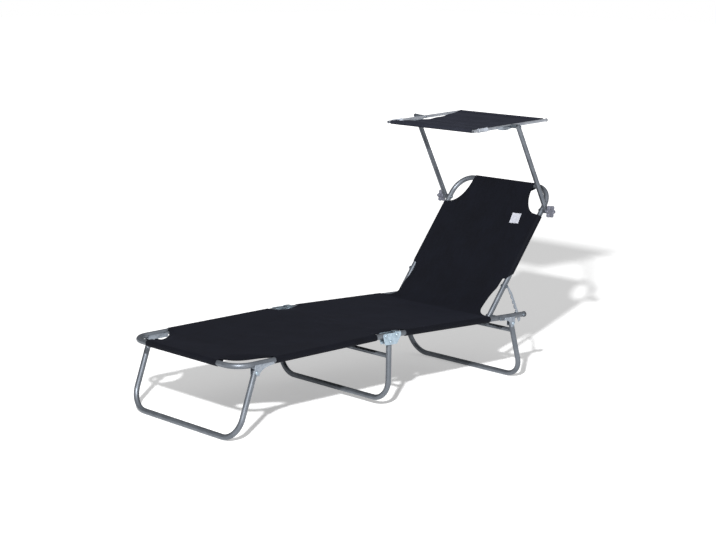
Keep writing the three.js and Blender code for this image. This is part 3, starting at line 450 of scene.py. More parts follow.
SHEET = 1.2  # thickness of the cloth
SLEEVE_RADIUS = 11.39  # outside of a sleeve on a frame tube
HEM = 36  # from a tube to the raw edge of its sleeve
HEM_SEAM = 28  # from a tube to the nearer line of stitches
HEM_LIP = 0.2  # the raw edge below the stitches
SIDE_DROP, END_DROP = 3.2, 2.8  # the hem below the top of the sheet that it is sewn to
WRAP_STEPS = 22
COLUMNS = 56
ROW_PITCH = 8
EASED_STEPS = 14
SLANT_STRETCH = 90  # over which a slanting sleeve gets straight
SLANT_STEPS = 9  # of its way round the tube, over which it slants
BINDING = 13  # width of the tape over a hollow edge
BINDING_RISE = 0.5


def smooth_step(value, low, high):
    """0 below low, 1 above high and a smooth step between them."""
    share = min(max((value - low) / (high - low), 0), 1)
    return share * share * (3 - 2 * share)


def wrap_profile(radius, drop):
    """How a sleeve goes round its tube, as (out, up) from the tube's centre and the length
    so far: from the top over the outside to the underside, then up to where it is sewn."""
    seam = (-HEM_SEAM * radius / SLEEVE_RADIUS, radius - drop)
    past = (-HEM * radius / SLEEVE_RADIUS, radius - drop - HEM_LIP)
    turn = atan2(seam[1], seam[0]) + acos(radius / hypot(*seam)) - 2 * pi
    profile = []
    for i in range(1, WRAP_STEPS + 1):
        angle = pi / 2 + (turn - pi / 2) * i / WRAP_STEPS
        profile.append((radius * cos(angle), radius * sin(angle)))
    last = profile[-1]
    for share in (0.5, 1):
        profile.append(tuple(a + (b - a) * share for a, b in zip(last, seam)))
    rows, length, before = [], 0, (0, radius)
    for point in [*profile, past]:
        length += hypot(point[0] - before[0], point[1] - before[1])
        rows.append((*point, length))
        before = point
    return rows


class Guide:
    """The line that a cloth's top follows over two sections, by its distance along them. A
    round bend joins their two straight runs."""

    def __init__(self, first, second, first_start, joint, second_start, top, radius):
        self.first, self.second, self.top, self.radius = first, second, top, radius
        self.first_start, self.second_start = first_start, second_start
        ahead, after = (self.way(m, (0, 1, 0)) for m in (first, second))
        self.angle = atan2(ahead.cross(after).x, ahead.dot(after))
        trim = top * tan(self.angle / 2) + abs(radius * tan(self.angle / 2))
        self.bend = (joint - trim, joint + trim)

    @staticmethod
    def way(matrix, direction):
        return (matrix.to_3x3() @ Vector(direction)).normalized()

    def at(self, distance):
        """The place on the line, and the ways ahead and up there."""
        low, high = self.bend
        if distance >= high:
            matrix, start, turn = self.second, self.second_start, 0
        else:
            matrix, start = self.first, self.first_start
            turn = self.angle * max(distance - low, 0) / (high - low)
        ahead, up = self.way(matrix, (0, 1, 0)), self.way(matrix, (0, 0, 1))
        if turn == 0:
            return matrix @ Vector((0, distance - start, self.top)), ahead, up
        radius = self.radius if self.angle > 0 else -self.radius
        place = matrix @ Vector((0, low - start, self.top))
        rolled = Matrix.Rotation(turn, 3, "X")
        return place + (up - rolled @ up) * radius * MM, rolled @ ahead, rolled @ up


def eased(start, end, flat=0):
    """Distances and half widths along a quarter of an ellipse that hollows an edge: along
    the cloth at its narrow end, across it at its wide end, and a share flat of the way
    drawn in to its chord."""
    (near, near_half), (far, far_half) = start, end
    if near_half > far_half:
        return eased(end, start, flat)[::-1]
    rows = []
    for i in range(EASED_STEPS + 1):
        turn = pi / 2 * i / EASED_STEPS
        less = 1 + flat * (1 / (sin(turn) + cos(turn)) - 1)
        rows.append((near + (far - near) * less * sin(turn),
                     far_half + (near_half - far_half) * less * cos(turn)))
    return rows


def even(start, end, half):
    """Distances and half widths along a straight edge."""
    count = max(round((end - start) / ROW_PITCH), 1)
    return [(start + (end - start) * i / count, half) for i in range(count + 1)]


class Panel:
    """A cloth over a guide. Its rows give distance and half width, and those in a sleeve
    go on round the tubes at its sides. droops gives the start, end, depth and reach inwards
    of edges that hang, and slant where a sleeve starts on the slant, and by how much."""

    def __init__(self, guide, sag, crease, span):
        self.guide, self.sag, self.crease, self.span = guide, sag, crease, span
        self.rows, self.points, self.faces, self.cut, self.bindings = [], [], [], [], []
        self.droops, self.slant = [], None

    def edge(self, rows, sleeve=False):
        self.rows += [(distance, half, sleeve) for distance, half in rows]

    def half_at(self, distance):
        """Half the cloth's width there, between the rows on either side."""
        after = min(max(bisect_left(self.rows, (distance,)), 1), len(self.rows) - 1)
        (low, low_half, _), (high, high_half, _) = self.rows[after - 1:after + 1]
        return low_half + (high_half - low_half) * (distance - low) / max(high - low, 1e-9)

    def surface(self, distance, across):
        """A place on the cloth's top, and the way up there."""
        place, ahead, up = self.guide.at(distance)
        share = across / self.span(distance)
        depth = self.sag(distance) * (1 - share * share) - self.crease(distance, across)
        for start, end, droop, reach in self.droops:
            if start < distance < end:
                near = max(1 - (self.half_at(distance) - abs(across)) / reach, 0)
                depth += droop * near * near * sin(pi * (distance - start) / (end - start))
        return place + Vector((across * MM, 0, 0)) - up * depth * MM, up

    def put(self, point, u, v):
        self.points.append(point)
        self.cut.append((u * MM, v * MM))
        return len(self.points) - 1

    def bar_row(self, distance, half, along, rise, v):
        """A row of a sleeve round the tube that carries an end of the cloth."""
        place, ahead, up = self.guide.at(distance)
        base = place + ahead * along * MM + up * (rise - self.guide.top) * MM
        return [self.put(base + Vector((half * s * MM, 0, 0)), half * s, v)
                for s in self.shares()]

    @staticmethod
    def shares():
        return [2 * i / COLUMNS - 1 for i in range(COLUMNS + 1)]

    def weave(self, first_bar=None, last_bar=None):
        """Builds the cloth's top side. A bar is the radius of the sleeve at that end."""
        grid = []
        for index, (distance, half, sleeve) in enumerate(self.rows):
            row = [self.put(self.surface(distance, half * s)[0], half * s, distance)
                   for s in self.shares()]
            wraps = []
            if sleeve:
                wraps = [self.side_wrap(distance, half, sign) for sign in (-1, 1)]
            grid.append((row, wraps))
        for (row, wraps), (after, next_wraps) in zip(grid, grid[1:]):
            self.strip(row, after)
            if wraps and next_wraps:
                self.strip([after[0], *next_wraps[0]], [row[0], *wraps[0]])
                self.strip([row[-1], *wraps[1]], [after[-1], *next_wraps[1]])
        for radius, (row, _), (distance, half, _), way in (
                (first_bar, grid[0], self.rows[0], -1), (last_bar, grid[-1], self.rows[-1], 1)):
            if radius:
                self.end_wrap(row, distance, half, way, radius)

    def strip(self, row, after):
        for i in range(len(row) - 1):
            self.faces.append((row[i], row[i + 1], after[i + 1], after[i]))

    def side_wrap(self, distance, half, sign):
        """A row's points round the tube at one side."""
        column = []
        for index, (out, rise, length) in enumerate(wrap_profile(self.guide.top, SIDE_DROP)):
            along = self.slanted(distance, min(index / SLANT_STEPS, 1))
            place, ahead, up = self.guide.at(along)
            centre = place - up * self.guide.top * MM
            point = centre + Vector((sign * (half + out) * MM, 0, 0)) + up * rise * MM
            column.append(self.put(point, sign * (half + length), along))
        return column

    def slanted(self, distance, share):
        """Where a point of a row lies at this share of its way round the tube, if the sleeve
        starts there on the slant."""
        if self.slant is None:
            return distance
        start, length = self.slant
        end = start + SLANT_STRETCH
        if not start <= distance <= end:
            return distance
        return end - (end - distance) * (1 - length * share / SLANT_STRETCH)

    def end_wrap(self, row, distance, half, way, radius):
        """The rows of a sleeve round the tube at one end."""
        for out, rise, length in wrap_profile(radius, END_DROP):
            after = self.bar_row(distance, half, way * out, rise, distance + way * length)
            self.strip(*((row, after) if way > 0 else (after, row)))
            row = after

    def bind(self, rows):
        """Folds a tape over both edges of the cloth along these rows."""
        path = [Vector((half, distance)) for distance, half in rows]
        for sign in (-1, 1):
            rings = []
            for i, place in enumerate(path):
                way = (path[min(i + 1, len(path) - 1)] - path[max(i - 1, 0)]).normalized()
                inside = place + Vector((-way.y, way.x)) * BINDING
                outside = place + Vector((way.y, -way.x)) * BINDING_RISE
                ring = []
                for at, rise in ((inside, BINDING_RISE), (outside, BINDING_RISE),
                                 (outside, -SHEET - BINDING_RISE),
                                 (inside, -SHEET - BINDING_RISE)):
                    point, up = self.surface(at.y, sign * at.x)
                    ring.append((point + up * rise * MM, (sign * at.x * MM, at.y * MM)))
                rings.append(ring)
            self.bindings.append(rings)

    def solid(self, name):
        """The cloth's mesh with its thickness and its flat coordinates."""
        shape = bmesh.new()
        flat = shape.loops.layers.uv.new("cut")
        verts = [shape.verts.new(point) for point in self.points]
        tops = [shape.faces.new([verts[i] for i in face]) for face in self.faces]
        shape.normal_update()
        shape.verts.ensure_lookup_table()
        edges = [edge for edge in shape.edges if edge.is_boundary]
        unders = [shape.verts.new(v.co - v.normal * SHEET * MM) for v in verts]
        twin = dict(zip(verts, unders))
        place = dict(zip(verts, self.cut)) | dict(zip(unders, self.cut))
        for face in tops:
            shape.faces.new([twin[v] for v in reversed(face.verts)])
        for edge in edges:
            loop = edge.link_loops[0]
            a, b = loop.vert, loop.link_loop_next.vert
            shape.faces.new((b, a, twin[a], twin[b]))
        for rings in self.bindings:
            verts = []
            for ring in rings:
                for point, cut in ring:
                    verts.append(shape.verts.new(point))
                    place[verts[-1]] = cut
            for face in [*loft(rings)[1], range(4), range(len(verts) - 4, len(verts))]:
                shape.faces.new([verts[i] for i in face])
        bmesh.ops.recalc_face_normals(shape, faces=shape.faces)
        for face in shape.faces:
            for loop in face.loops:
                loop[flat].uv = place[loop.vert]
        return baked(name, shape)


# Distances along the slings, from the foot bar over the seat to the top bar
FOOT_RIVETS = FOOT_REACH
SEAT_ORIGIN = FOOT_RIVETS + FOLD_REACH
SEAT_HALFWAY = SEAT_ORIGIN + HINGE_REACH / 2
HINGE = SEAT_ORIGIN + HINGE_REACH
BACK_TOP = HINGE + BACK_REACH

# Hollows in their edges: at the foot corners, middle brackets, hinge and top corners
CORNER_END, CORNER_TAIL, CORNER_FLAT = 144, 154, 0.2
BRACKET_START, BRACKET_END = FOOT_RIVETS - 40, SEAT_ORIGIN + 68
NECK_START, NECK_END = SEAT_ORIGIN + 490, HINGE + 150
TOP_CORNER = HINGE + 426
SLEEVE_STEP = 1  # from a hollow to the sleeve next to it
SLEEVE_SLANT = 30

# Half widths of the cloth
SLEEVE_INSET = RAIL_X - SLEEVE_RADIUS
BACK_INSET = BACK_X - SLEEVE_RADIUS
BRACKET_HALF = SLEEVE_INSET - 6
FOOT_BAR_HALF, NECK_HALF, TOP_BAR_HALF = 185, 213, 150

# How its free edges hang, and how it lifts in front of the hinge
CORNER_DROOP, BRACKET_DROOP, DROOP_REACH = 11, 8, 60
HINGE_LIFT, HINGE_LIFT_END = 18, HINGE + 110

# How it turns at the folds
FOLD_LINE = FOOT_RIVETS + 8
FOLD_RADIUS, HINGE_RADIUS = 900, 84
NARROWING = 50  # before and after the hinge

# Its hollow, and its creases as height, width, length and layer of noise
SEAT_SAG, BACK_SAG = 7, 5
SAG_CHANGE = (HINGE - 60, HINGE + 120)
SAG_START = (-20, 150)
CREASES = ((1.1, 160, 110, 3.1), (0.5, 60, 34, 7.7))
CREASE_FADE = (150, 232)  # from the middle, where the sleeves pull it flat


def sling_sag(distance):
    """Depth of the sling's hollow: shallow at the bars that carry its ends."""
    depth = SEAT_SAG + (BACK_SAG - SEAT_SAG) * smooth_step(distance, *SAG_CHANGE)
    return (depth * smooth_step(distance, *SAG_START)
            * smooth_step(BACK_TOP - distance, *SAG_START))


def sling_crease(distance, across):
    """Slight looseness of the cloth between its sleeves."""
    folds = sum(height * noise.noise(Vector((across / width, distance / length, layer)))
                for height, width, length, layer in CREASES)
    return folds * (1 - smooth_step(abs(across), *CREASE_FADE))


def foot_and_seat_sling():
    """The cloth from the foot bar to halfway along the seat."""
    guide = Guide(FOOT, SEAT, FOOT_RIVETS, FOLD_LINE, SEAT_ORIGIN, SLEEVE_RADIUS, FOLD_RADIUS)
    panel = Panel(guide, sling_sag, sling_crease, lambda distance: RAIL_X)
    corner = eased((SLEEVE_RADIUS, FOOT_BAR_HALF), (CORNER_END, SLEEVE_INSET), CORNER_FLAT)
    corner += even(CORNER_END, CORNER_TAIL, SLEEVE_INSET)[1:]
    middle = eased((BRACKET_START, SLEEVE_INSET), (SEAT_ORIGIN, BRACKET_HALF))
    middle += eased((SEAT_ORIGIN, BRACKET_HALF), (BRACKET_END, SLEEVE_INSET))[1:]
    panel.droops = [(SLEEVE_RADIUS, CORNER_TAIL, CORNER_DROOP, DROOP_REACH),
                    (BRACKET_START, BRACKET_END, BRACKET_DROOP, DROOP_REACH)]
    panel.edge(even(0, SLEEVE_RADIUS, FOOT_BAR_HALF))
    panel.edge(corner[1:])
    panel.edge(even(CORNER_TAIL + SLEEVE_STEP, BRACKET_START - SLEEVE_STEP, RAIL_X),
               sleeve=True)
    panel.edge(middle)
    panel.edge(even(BRACKET_END + SLEEVE_STEP, SEAT_HALFWAY, RAIL_X), sleeve=True)
    panel.weave(first_bar=SLEEVE_RADIUS)
    panel.bind(corner)
    panel.bind(middle)
    made = piece(panel.solid("foot_and_seat_sling"), SLING_FABRIC,
                 ["foot_sling"], sharp=60)
    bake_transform(made)


def seat_and_back_sling():
    """The cloth from halfway along the seat to the top bar of the backrest."""
    guide = Guide(SEAT, BACK, SEAT_ORIGIN, HINGE, HINGE, SLEEVE_RADIUS, HINGE_RADIUS)
    panel = Panel(guide, sling_sag, sling_crease, lambda distance: RAIL_X + (
        BACK_X - RAIL_X) * smooth_step(distance, HINGE - NARROWING, HINGE + NARROWING))
    neck = eased((NECK_START, SLEEVE_INSET), (HINGE, NECK_HALF))
    neck += eased((HINGE, NECK_HALF), (NECK_END, BACK_INSET))[1:]
    panel.droops = [(NECK_START, HINGE_LIFT_END, -HINGE_LIFT, NECK_HALF)]
    corner = eased((TOP_CORNER, BACK_INSET), (BACK_TOP - SLEEVE_RADIUS, TOP_BAR_HALF))
    panel.edge(even(SEAT_HALFWAY, NECK_START - SLEEVE_STEP, RAIL_X), sleeve=True)
    panel.edge(neck)
    panel.slant = (NECK_END + SLEEVE_STEP, SLEEVE_SLANT)
    panel.edge(even(NECK_END + SLEEVE_STEP, TOP_CORNER - SLEEVE_STEP, BACK_X), sleeve=True)
    panel.edge(corner)
    panel.edge(even(BACK_TOP - SLEEVE_RADIUS, BACK_TOP, TOP_BAR_HALF)[1:])
    panel.weave(last_bar=SLEEVE_RADIUS)
    panel.bind(neck)
    panel.bind(corner)
    blank_label(panel)
    made = piece(panel.solid("seat_and_back_sling"), SLING_FABRIC,
                 ["seat_sling", "back_sling"], sharp=60)
    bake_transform(made)


def blank_label(panel):
    """The blank label sewn to the front of the backrest, a little askew."""
    # Its corners from the lower inner one, as places across and above the hinge
    corners = (Vector(c) for c in ((122, 376), (166, 378), (160, 420), (117, 418)))
    low_in, low_out, high_out, high_in = corners
    steps, top, under, curl = 6, 0.7, 0.1, 1.2
    shares = [i / steps for i in range(steps + 1)]

    def row(a, rise):
        points = []
        for b in shares:
            at = low_in.lerp(low_out, b).lerp(high_in.lerp(high_out, b), a)
            point, up = panel.surface(HINGE + at.y, at.x)
            points.append(point + up * (rise + curl * abs(2 * b - 1) ** 6 * a) * MM)
        return points

    points, faces = loft([row(a, top) + row(a, under)[::-1] for a in shares])
    width = 2 * (steps + 1)
    for start in (0, steps * width):
        faces += [(start + j, start + j + 1, start + width - 2 - j, start + width - 1 - j)
                  for j in range(steps)]
    piece(mesh_of("blank_label", [(points, faces)], Matrix()), LABEL_SATIN,
          (), "back", 60)


foot_and_seat_sling()
seat_and_back_sling()

CLOTH_HALF = 206
CLOTH_WAIST = 14
CLOTH_SAG = 12
CLOTH_SLEEVE = 7.3
CLOTH_ROW = 4
RIDGES, RIDGE_RISE = 5, 1


def canopy_cloth():
    """The canopy's cloth between its front and back tube, in shallow ridges."""
    length = CANOPY_FRONT + CANOPY_BACK
    # Within one section the guide is straight, so its bend lies off the cloth
    guide = Guide(CANOPY, CANOPY, CANOPY_FRONT, -length, CANOPY_FRONT, CLOTH_SLEEVE, 1)

    def hang(distance, across):
        share = distance / length
        return RIDGE_RISE * (cos(2 * pi * RIDGES * share) - 1) - CLOTH_SAG * sin(pi * share)

    panel = Panel(guide, lambda distance: 0, hang, lambda distance: SIDE_BAR_X)
    count = round(length / CLOTH_ROW)
    panel.edge([(length * i / count, CLOTH_HALF - CLOTH_WAIST * sin(pi * i / count))
                for i in range(count + 1)])
    panel.weave(first_bar=CLOTH_SLEEVE, last_bar=CLOTH_SLEEVE)
    made = piece(panel.solid("canopy_cover"), CANOPY_FABRIC,
                 ["canopy_cloth"], "canopy", sharp=60)


canopy_cloth()


# Small pieces

BACK_INNER, BACK_OUTER = BACK_X - TUBE_RADIUS, BACK_X + TUBE_RADIUS
RAIL_INNER, RAIL_OUTER = RAIL_X - TUBE_RADIUS, RAIL_X + TUBE_RADIUS
ARM_INNER, ARM_OUTER = ARM_X - ARM_RADIUS, ARM_X + ARM_RADIUS
PLATE_OUTER = 223.3  # outer face of a tilt plate
RATCHET_OUTER = 247.3  # outer face of a notched bar
CRADLE_OUTER = 11.6  # from the middle of a rail to the face of its brackets

BOLT, BOLT_HEAD, HEAD_HEIGHT = 3.5, 6.5, 4
CHAMFER = 0.6
BOLT_PROUD = 0.9  # a bolt's end past its nut
SPACER = 7
RIM_EASE = 0.4
RIVET, RIVET_HEAD, RIVET_RISE = 3, 6, 2.2
PIN, PIN_EASE = 3, 0.5
WASHER_THICKNESS = 2.5
CLAMP_TIP = 11  # the clamp bolt's end past its arm
DOME_STEPS = 7


def lathe(profile, place=(0, 0, 0), sign=1, count=32, along="X"):
    """A solid turned round an axis; its profile gives the radius and the place along."""
    x, y, z = place
    rings = []
    for radius, reach in profile:
        ring = []
        for k in range(count):
            p, q = radius * cos(2 * pi * k / count), radius * sin(2 * pi * k / count)
            ring.append((x + sign * reach, y + p, z + q) if along == "X"
                        else (x + p, y + reach, z + q))
        rings.append(ring)
    return loft(rings)


def dome(radius, face, height):
    """The profile of a low round head, from its rim on a face to its crown."""
    turns = [pi / 2 * i / DOME_STEPS for i in range(DOME_STEPS + 1)]
    return [(radius * cos(turn) ** 0.7, face + height * sin(turn)) for turn in turns]


def back_to_front(profile, face=0):
    """The profile of the same head on the other side of a face."""
    return [(radius, 2 * face - reach) for radius, reach in reversed(profile)]


def eased_ring(inner, outer, low, high):
    """The profile of a ring or disc whose rims are eased."""
    return [(inner, low), (outer - RIM_EASE, low), (outer, low + RIM_EASE),
            (outer, high - RIM_EASE), (outer - RIM_EASE, high), (inner, high)]


def nut(face, size, bolt, place, sign):
    """A chamfered hexagon nut on a face with the end of its bolt."""
    end = face + HEAD_HEIGHT
    top = end - BOLT_PROUD
    body = [(0, face), (size - CHAMFER, face), (size, face + CHAMFER), (size, top - CHAMFER),
            (size - 2 * CHAMFER, top), (0, top)]
    tip = [(0, face), (bolt, face), (bolt, end - CHAMFER / 2), (bolt - CHAMFER, end), (0, end)]
    return [lathe(body, place, sign, 6), lathe(tip, place, sign)]


def nutted_bolt(inner, outer, y, sign, bolt=BOLT, head=BOLT_HEAD, spacer=()):
    """Solids of a bolt with a round head on the inner face and a nut on the outer one, and
    of a spacer between two others."""
    place, inner, outer = (0, y, 0), inner - FIT_GAP, outer + FIT_GAP
    shank = [*back_to_front(dome(head, inner, HEAD_HEIGHT), inner), (bolt, inner),
             (bolt, outer), (0, outer)]
    solids = [lathe(shank, place, sign), *nut(outer, head, bolt, place, sign)]
    if spacer:
        ring = eased_ring(0, SPACER, spacer[0] + FIT_GAP, spacer[1] - FIT_GAP)
        solids.append(lathe(ring, place, sign))
    return solids


def small(name, side, solids, matrix, body, material, sharp=35):
    """A piece that stands for the CAD node of its name and side."""
    mesh = mesh_of(f"{name}_shape_{side}", solids, matrix)
    piece(mesh, material, [f"{name}_{side}"], body, sharp)


def rivet_profile():
    """The profile of a rivet with a low head at each end."""
    face = CRADLE_OUTER + FIT_GAP
    head = dome(RIVET_HEAD, face, RIVET_RISE)
    return [*back_to_front(head), (RIVET, -face), (RIVET, face), *head]


def fixings(side, sign):
    """The rivets, bolts and catch pin of one side."""
    for name, matrix, y, z, body in (
            ("foot_rivet", SEAT, -FOLD_REACH, 0, "seat"),
            ("seat_rivet", SEAT, SEAT_RIVET_REACH, 0, "seat"),
            ("middle_leg_rivet", SEAT, -MIDDLE_LEG_REACH, -MIDDLE_LEG_DROP, "seat"),
            ("foot_leg_rivet", FOOT, -FOOT_LEG_REACH, -LEG_DROP, "foot"),
            ("rear_leg_rivet", SEAT, REAR_LEG_REACH, -LEG_DROP, "seat")):
        solid = lathe(rivet_profile(), (sign * RAIL_X, y, z), sign)
        small(name, side, [solid], matrix, body, RIVET_STEEL)
    for name, matrix, body, inner, outer, y, sizes in (
            ("hinge_bolt", SEAT, "seat", BACK_INNER, RAIL_OUTER, HINGE_REACH,
             {"spacer": (BACK_OUTER, RAIL_INNER)}),
            ("ratchet_bolt", BACK, "back", BACK_INNER, RATCHET_OUTER, RATCHET_ARM, {}),
            ("tilt_bolt", ARMS, "arms", SIDE_BAR_X - SIDE_BAR_RADIUS, ARM_OUTER, ARM_REACH,
             {"bolt": 2.5, "head": 5, "spacer": (PLATE_OUTER, ARM_INNER)})):
        small(name, side, nutted_bolt(inner, outer, y, sign, **sizes), matrix, body, FASTENER)
    start, face = BACK_OUTER + PIN_EASE, RAIL_OUTER + FIT_GAP
    pin = [(0, start), (PIN - PIN_EASE, start), (PIN, start + PIN_EASE), (PIN, face),
           *dome(BOLT_HEAD, face, HEAD_HEIGHT)]
    small("catch_pin", side, [lathe(pin, (0, HINGE_REACH + RATCHET_ARM, 0), sign)], SEAT,
          "seat", FASTENER)


def clamp(side, sign):
    """The washer, bolt and knob that clamp a canopy arm to the backrest."""
    place, near = (0, CLAMP_REACH, 0), BACK_OUTER + FIT_GAP
    washer = eased_ring(BOLT, ARM_RADIUS, near, near + WASHER_THICKNESS)
    small("clamp_washer", side, [lathe(washer, place, sign)], BACK, "back", CAP_PLASTIC)
    inner, tip = BACK_INNER - FIT_GAP, ARM_OUTER + FIT_GAP + CLAMP_TIP
    bolt = [*back_to_front(dome(BOLT_HEAD, inner, HEAD_HEIGHT), inner), (BOLT, inner),
            (BOLT, tip - 1), (BOLT - 1, tip), (0, tip)]
    small("clamp_bolt", side, [lathe(bolt, place, sign)], BACK, "back", FASTENER)
    small("clamp_knob", side, star_knob(sign), BACK, "knob_" + side, KNOB_PLASTIC,
          50)


def star_knob(sign):
    """A hub and a star of six round lobes with eased rims and a dished outer face."""
    waist, lobe_count, rise, power = 16.4, 6, 7.5, 0.75
    ease, steps, recess, hub = 3.2, 5, 10, 9
    dish = ((11, 0), (10.3, 0.3), (9.6, 1.4), (0, 1.9))  # radius and depth
    face, points = ARM_OUTER + FIT_GAP, 120
    near, far, hub_end = face + 4, face + 17, face + 6
    rings = []

    def ring(radius_at, x):
        turns = [2 * pi * k / points for k in range(points)]
        rings.append([(sign * x, CLAMP_REACH + radius_at(turn) * cos(turn),
                       radius_at(turn) * sin(turn)) for turn in turns])

    def circle(radius, x):
        ring(lambda turn: radius, x)

    def lobes(inset, x):
        ring(lambda turn: waist + rise * ((1 + cos(lobe_count * turn)) / 2) ** power - inset, x)

    rim = [pi / 2 * i / steps for i in range(steps + 1)]
    circle(0, near)
    circle(recess, near)
    for turn in rim:
        lobes(ease * (1 - sin(turn)), near + ease * (1 - cos(turn)))
    for turn in rim:
        lobes(ease * (1 - cos(turn)), far - ease * (1 - sin(turn)))
    for radius, depth in dish:
        circle(radius, far - depth)
    profile = [(0, face), (hub - RIM_EASE, face), (hub, face + RIM_EASE), (hub, hub_end),
               (0, hub_end)]
    return [lathe(profile, (0, CLAMP_REACH, 0), sign), loft(rings)]


def end_cap(end, plug, depth, radius, rim, crown):
    """The profile of a cap on a tube that ends there, with a plug of some depth in it."""
    return [(0, end - depth), (plug, end - depth), (plug, end + FIT_GAP),
            (radius, end + FIT_GAP), (radius, end + rim), *dome(radius, end + rim, crown)[1:]]


CONNECTOR = (16, 62)  # its ends, behind the canopy's front tube


def caps(side, sign):
    """The end caps and the connector of one side."""
    start, end = (reach - CANOPY_FRONT for reach in CONNECTOR)
    bore, radius, bead, length, ease = 5.9, 7.1, 7.7, 5, 0.5
    half = [(bore, 0), (bead - ease, 0), (bead, ease), (bead, length), (radius, length + 1)]
    sleeve = [*((r, start + along) for r, along in half),
              *((r, end - along) for r, along in reversed(half)), (bore, start)]
    for name, profile, x, matrix, body, plastic in (
            ("rail_cap", end_cap(RAIL_END, plug=7.5, depth=5, radius=10.5, rim=4, crown=3.3),
             RAIL_X, SEAT, "seat", CAP_PLASTIC),
            ("canopy_cap", end_cap(CANOPY_END, plug=3.8, depth=6, radius=6.5, rim=2.4,
                                   crown=1.9), SIDE_BAR_X, CANOPY, "canopy", CAP_PLASTIC),
            ("canopy_connector", sleeve, SIDE_BAR_X, CANOPY, "canopy", PALE_PLASTIC)):
        small(name, side, [lathe(profile, (sign * x, 0, 0), along="Y")], matrix, body, plastic)


SHEET_ROLL = 0.35  # radius of a pressed edge
FLAT_ANGLE, EDGE_ANGLE = radians(1), radians(40)


def softened(name, side):
    """A pressed sheet piece: its CAD mesh with the sharp edges rolled over."""
    made = bmesh.new()
    made.from_mesh(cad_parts[f"{name}_{side}"].data)
    bmesh.ops.remove_doubles(made, verts=made.verts, dist=WELD * MM)
    bmesh.ops.dissolve_limit(made, angle_limit=FLAT_ANGLE, verts=made.verts, edges=made.edges)
    edges = [edge for edge in made.edges if edge.is_manifold
             and edge.calc_face_angle(0) > EDGE_ANGLE]
    bmesh.ops.bevel(made, geom=edges, offset=SHEET_ROLL * MM, segments=2, profile=0.5,
                    affect="EDGES", clamp_overlap=True)
    bmesh.ops.triangulate(made, faces=[face for face in made.faces if len(face.verts) > 4])
    return baked(f"{name}_shape_{side}", made)


def sheet_pieces(side, sign):
    """The pressed pieces of one side, and the studs on its end leg brackets."""
    for name, body in (("middle_bracket", "seat"), ("foot_leg_bracket", "foot"),
                       ("rear_leg_bracket", "seat"), ("ratchet_bar", "ratchet_" + side),
                       ("tilt_plate", "canopy")):
        steel = BRACKET_STEEL if name == "middle_bracket" else SHEET_STEEL
        piece(softened(name, side), steel, [f"{name}_{side}"], body, 30)
    radius, rise, root, sunk, drop = 2.3, 1.0, 0.8, 0.2, 4.5
    face = RAIL_X + CRADLE_OUTER - sunk
    stud = [(0, face - root), (radius, face - root), *dome(radius, face, rise)]
    for name, matrix, reaches, body in (("foot", FOOT, (-543, -505), "foot"),
                                        ("rear", SEAT, (590, 570), "seat")):
        studs = [lathe(stud, (0, y, -drop), sign, 20) for y in reaches]
        piece(mesh_of(f"{name}_leg_bracket_studs_{side}", studs, matrix), SHEET_STEEL,
              (), body, 35)


for side, sign in SIDES.items():
    fixings(side, sign)
    clamp(side, sign)
    caps(side, sign)
    sheet_pieces(side, sign)


# Floor, light and camera, in metres

FLOOR_REACH = 30
FLOOR_DROP = 0.5 * MM  # below the feet, so that the two faces don't meet
FLOOR_GLOW = 0.38  # makes the lamp-lit floor look white
FADE_START, FADE_END = 3.6, 8.0  # from the middle, where the lamp's light falls flat
WALL_AHEAD = (0.75, -0.35, 0.75)  # towards the bright side of the studio
WALL_DARK, WALL_BRIGHT = 0.12, 1.1
WALL_FADE = (-0.5, 0.95)
ROOM_LIGHT = 0.26
LAMP_PLACE, LAMP_POWER, LAMP_RADIUS = (2.949, -3.538, 2.686), 65, 0.1
AZIMUTH, ELEVATION, ROLL = radians(46.9691), radians(10.3386), radians(0.7226)
CAMERA_PLACE = (4.37694, -4.077507, 1.521203)
SENSOR, LENS = 36, 87.0151  # in millimetres


def seen_by(tree, *kinds):
    """1 for a ray of one of these kinds."""
    rays = add(tree, "LightPath", {}).outputs
    seen = rays[kinds[0]]
    for kind in kinds[1:]:
        seen = add(tree, "Math", {0: seen, 1: rays[kind]}, operation="MAXIMUM").outputs["Value"]
    return seen


def floor():
    """A white sheet that keeps the lounger's shadow. Far off, where the lamp's light falls
    flat on it, it glows more, so it goes on white past the picture."""
    material, tree, place = finish("white studio floor")
    tree.nodes.remove(tree.nodes["Principled BSDF"])
    sheet = add(tree, "BsdfDiffuse", {"Color": linear("#f4f4f4")})
    from_middle = add(tree, "VectorMath", {0: place}, operation="LENGTH").outputs["Value"]
    level = spread(tree, from_middle, FLOOR_GLOW, 1.0, FADE_START, FADE_END)
    glow = add(tree, "Emission", {"Color": linear("#ffffff"), "Strength": level})
    dark = add(tree, "Emission", {"Color": linear("#000000"), "Strength": 0.0})
    through = seen_by(tree, "Is Camera Ray", "Is Glossy Ray", "Is Transmission Ray")
    light = add(tree, "MixShader", {0: through, 1: dark.outputs["Emission"],
                                    2: glow.outputs["Emission"]})
    both = add(tree, "AddShader", {0: sheet.outputs["BSDF"], 1: light.outputs["Shader"]})
    tree.links.new(both.outputs["Shader"], tree.nodes["Material Output"].inputs["Surface"])
    mesh = bpy.data.meshes.new("floor")
    mesh.from_pydata([(x * FLOOR_REACH, y * FLOOR_REACH, 0)
                      for x, y in ((-1, -1), (1, -1), (1, 1), (-1, 1))], [], [(0, 1, 2, 3)])
    mesh.materials.append(material)
    made = placed("floor", mesh)
    made.location.z = -FLOOR_DROP


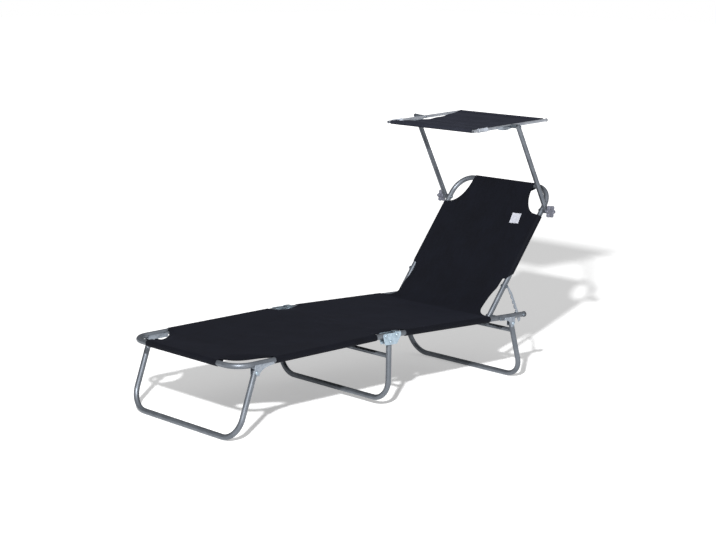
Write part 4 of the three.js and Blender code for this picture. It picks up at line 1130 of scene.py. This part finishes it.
def studio():
    """A soft white room whose reflections fade from its bright side to its far side."""
    world = bpy.data.worlds.new("white studio")
    bpy.context.scene.world = world
    world.use_nodes = True
    tree = world.node_tree
    through = seen_by(tree, "Is Camera Ray", "Is Transmission Ray")
    toward = add(tree, "VectorMath", {0: add(tree, "TexCoord", {}).outputs["Generated"],
                                      1: Vector(WALL_AHEAD).normalized()},
                 operation="DOT_PRODUCT").outputs["Value"]
    strength = add(tree, "Mix", {
        "Factor": seen_by(tree, "Is Glossy Ray"), "A": spread(tree, through, ROOM_LIGHT, 1.0),
        "B": spread(tree, toward, WALL_DARK, WALL_BRIGHT, *WALL_FADE,
                    interpolation_type="SMOOTHSTEP")}, data_type="FLOAT")
    tree.links.new(strength.outputs["Result"], tree.nodes["Background"].inputs["Strength"])
    tree.nodes["Background"].inputs["Color"].default_value = linear("#ffffff")


def key_light():
    """A near lamp that is as bright far off as close by, for the photograph's shadows."""
    lamp = bpy.data.lights.new("key light", "POINT")
    lamp.energy, lamp.shadow_soft_size, lamp.use_nodes = LAMP_POWER, LAMP_RADIUS, True
    tree = lamp.node_tree
    even_light = add(tree, "LightFalloff", {"Strength": 1.0})
    tree.links.new(even_light.outputs["Constant"], tree.nodes["Emission"].inputs["Strength"])
    key = placed("key light", lamp)
    key.location, key.visible_camera = LAMP_PLACE, False


def camera():
    """The photograph's own viewpoint, with its slight roll."""
    back = Vector((sin(AZIMUTH) * cos(ELEVATION), -cos(AZIMUTH) * cos(ELEVATION),
                   sin(ELEVATION)))
    right = Vector((cos(AZIMUTH), sin(AZIMUTH), 0))
    up = back.cross(right)
    tilted = Matrix((right * cos(ROLL) + up * sin(ROLL), up * cos(ROLL) - right * sin(ROLL),
                     back)).transposed().to_4x4()
    data = bpy.data.cameras.new("camera")
    data.sensor_width, data.sensor_fit, data.lens = SENSOR, "HORIZONTAL", LENS
    made = placed("camera", data)
    made.matrix_world = Matrix.Translation(CAMERA_PLACE) @ tilted
    bpy.context.scene.camera = made


floor()
studio()
key_light()
camera()
bpy.context.scene.view_settings.view_transform = "Standard"
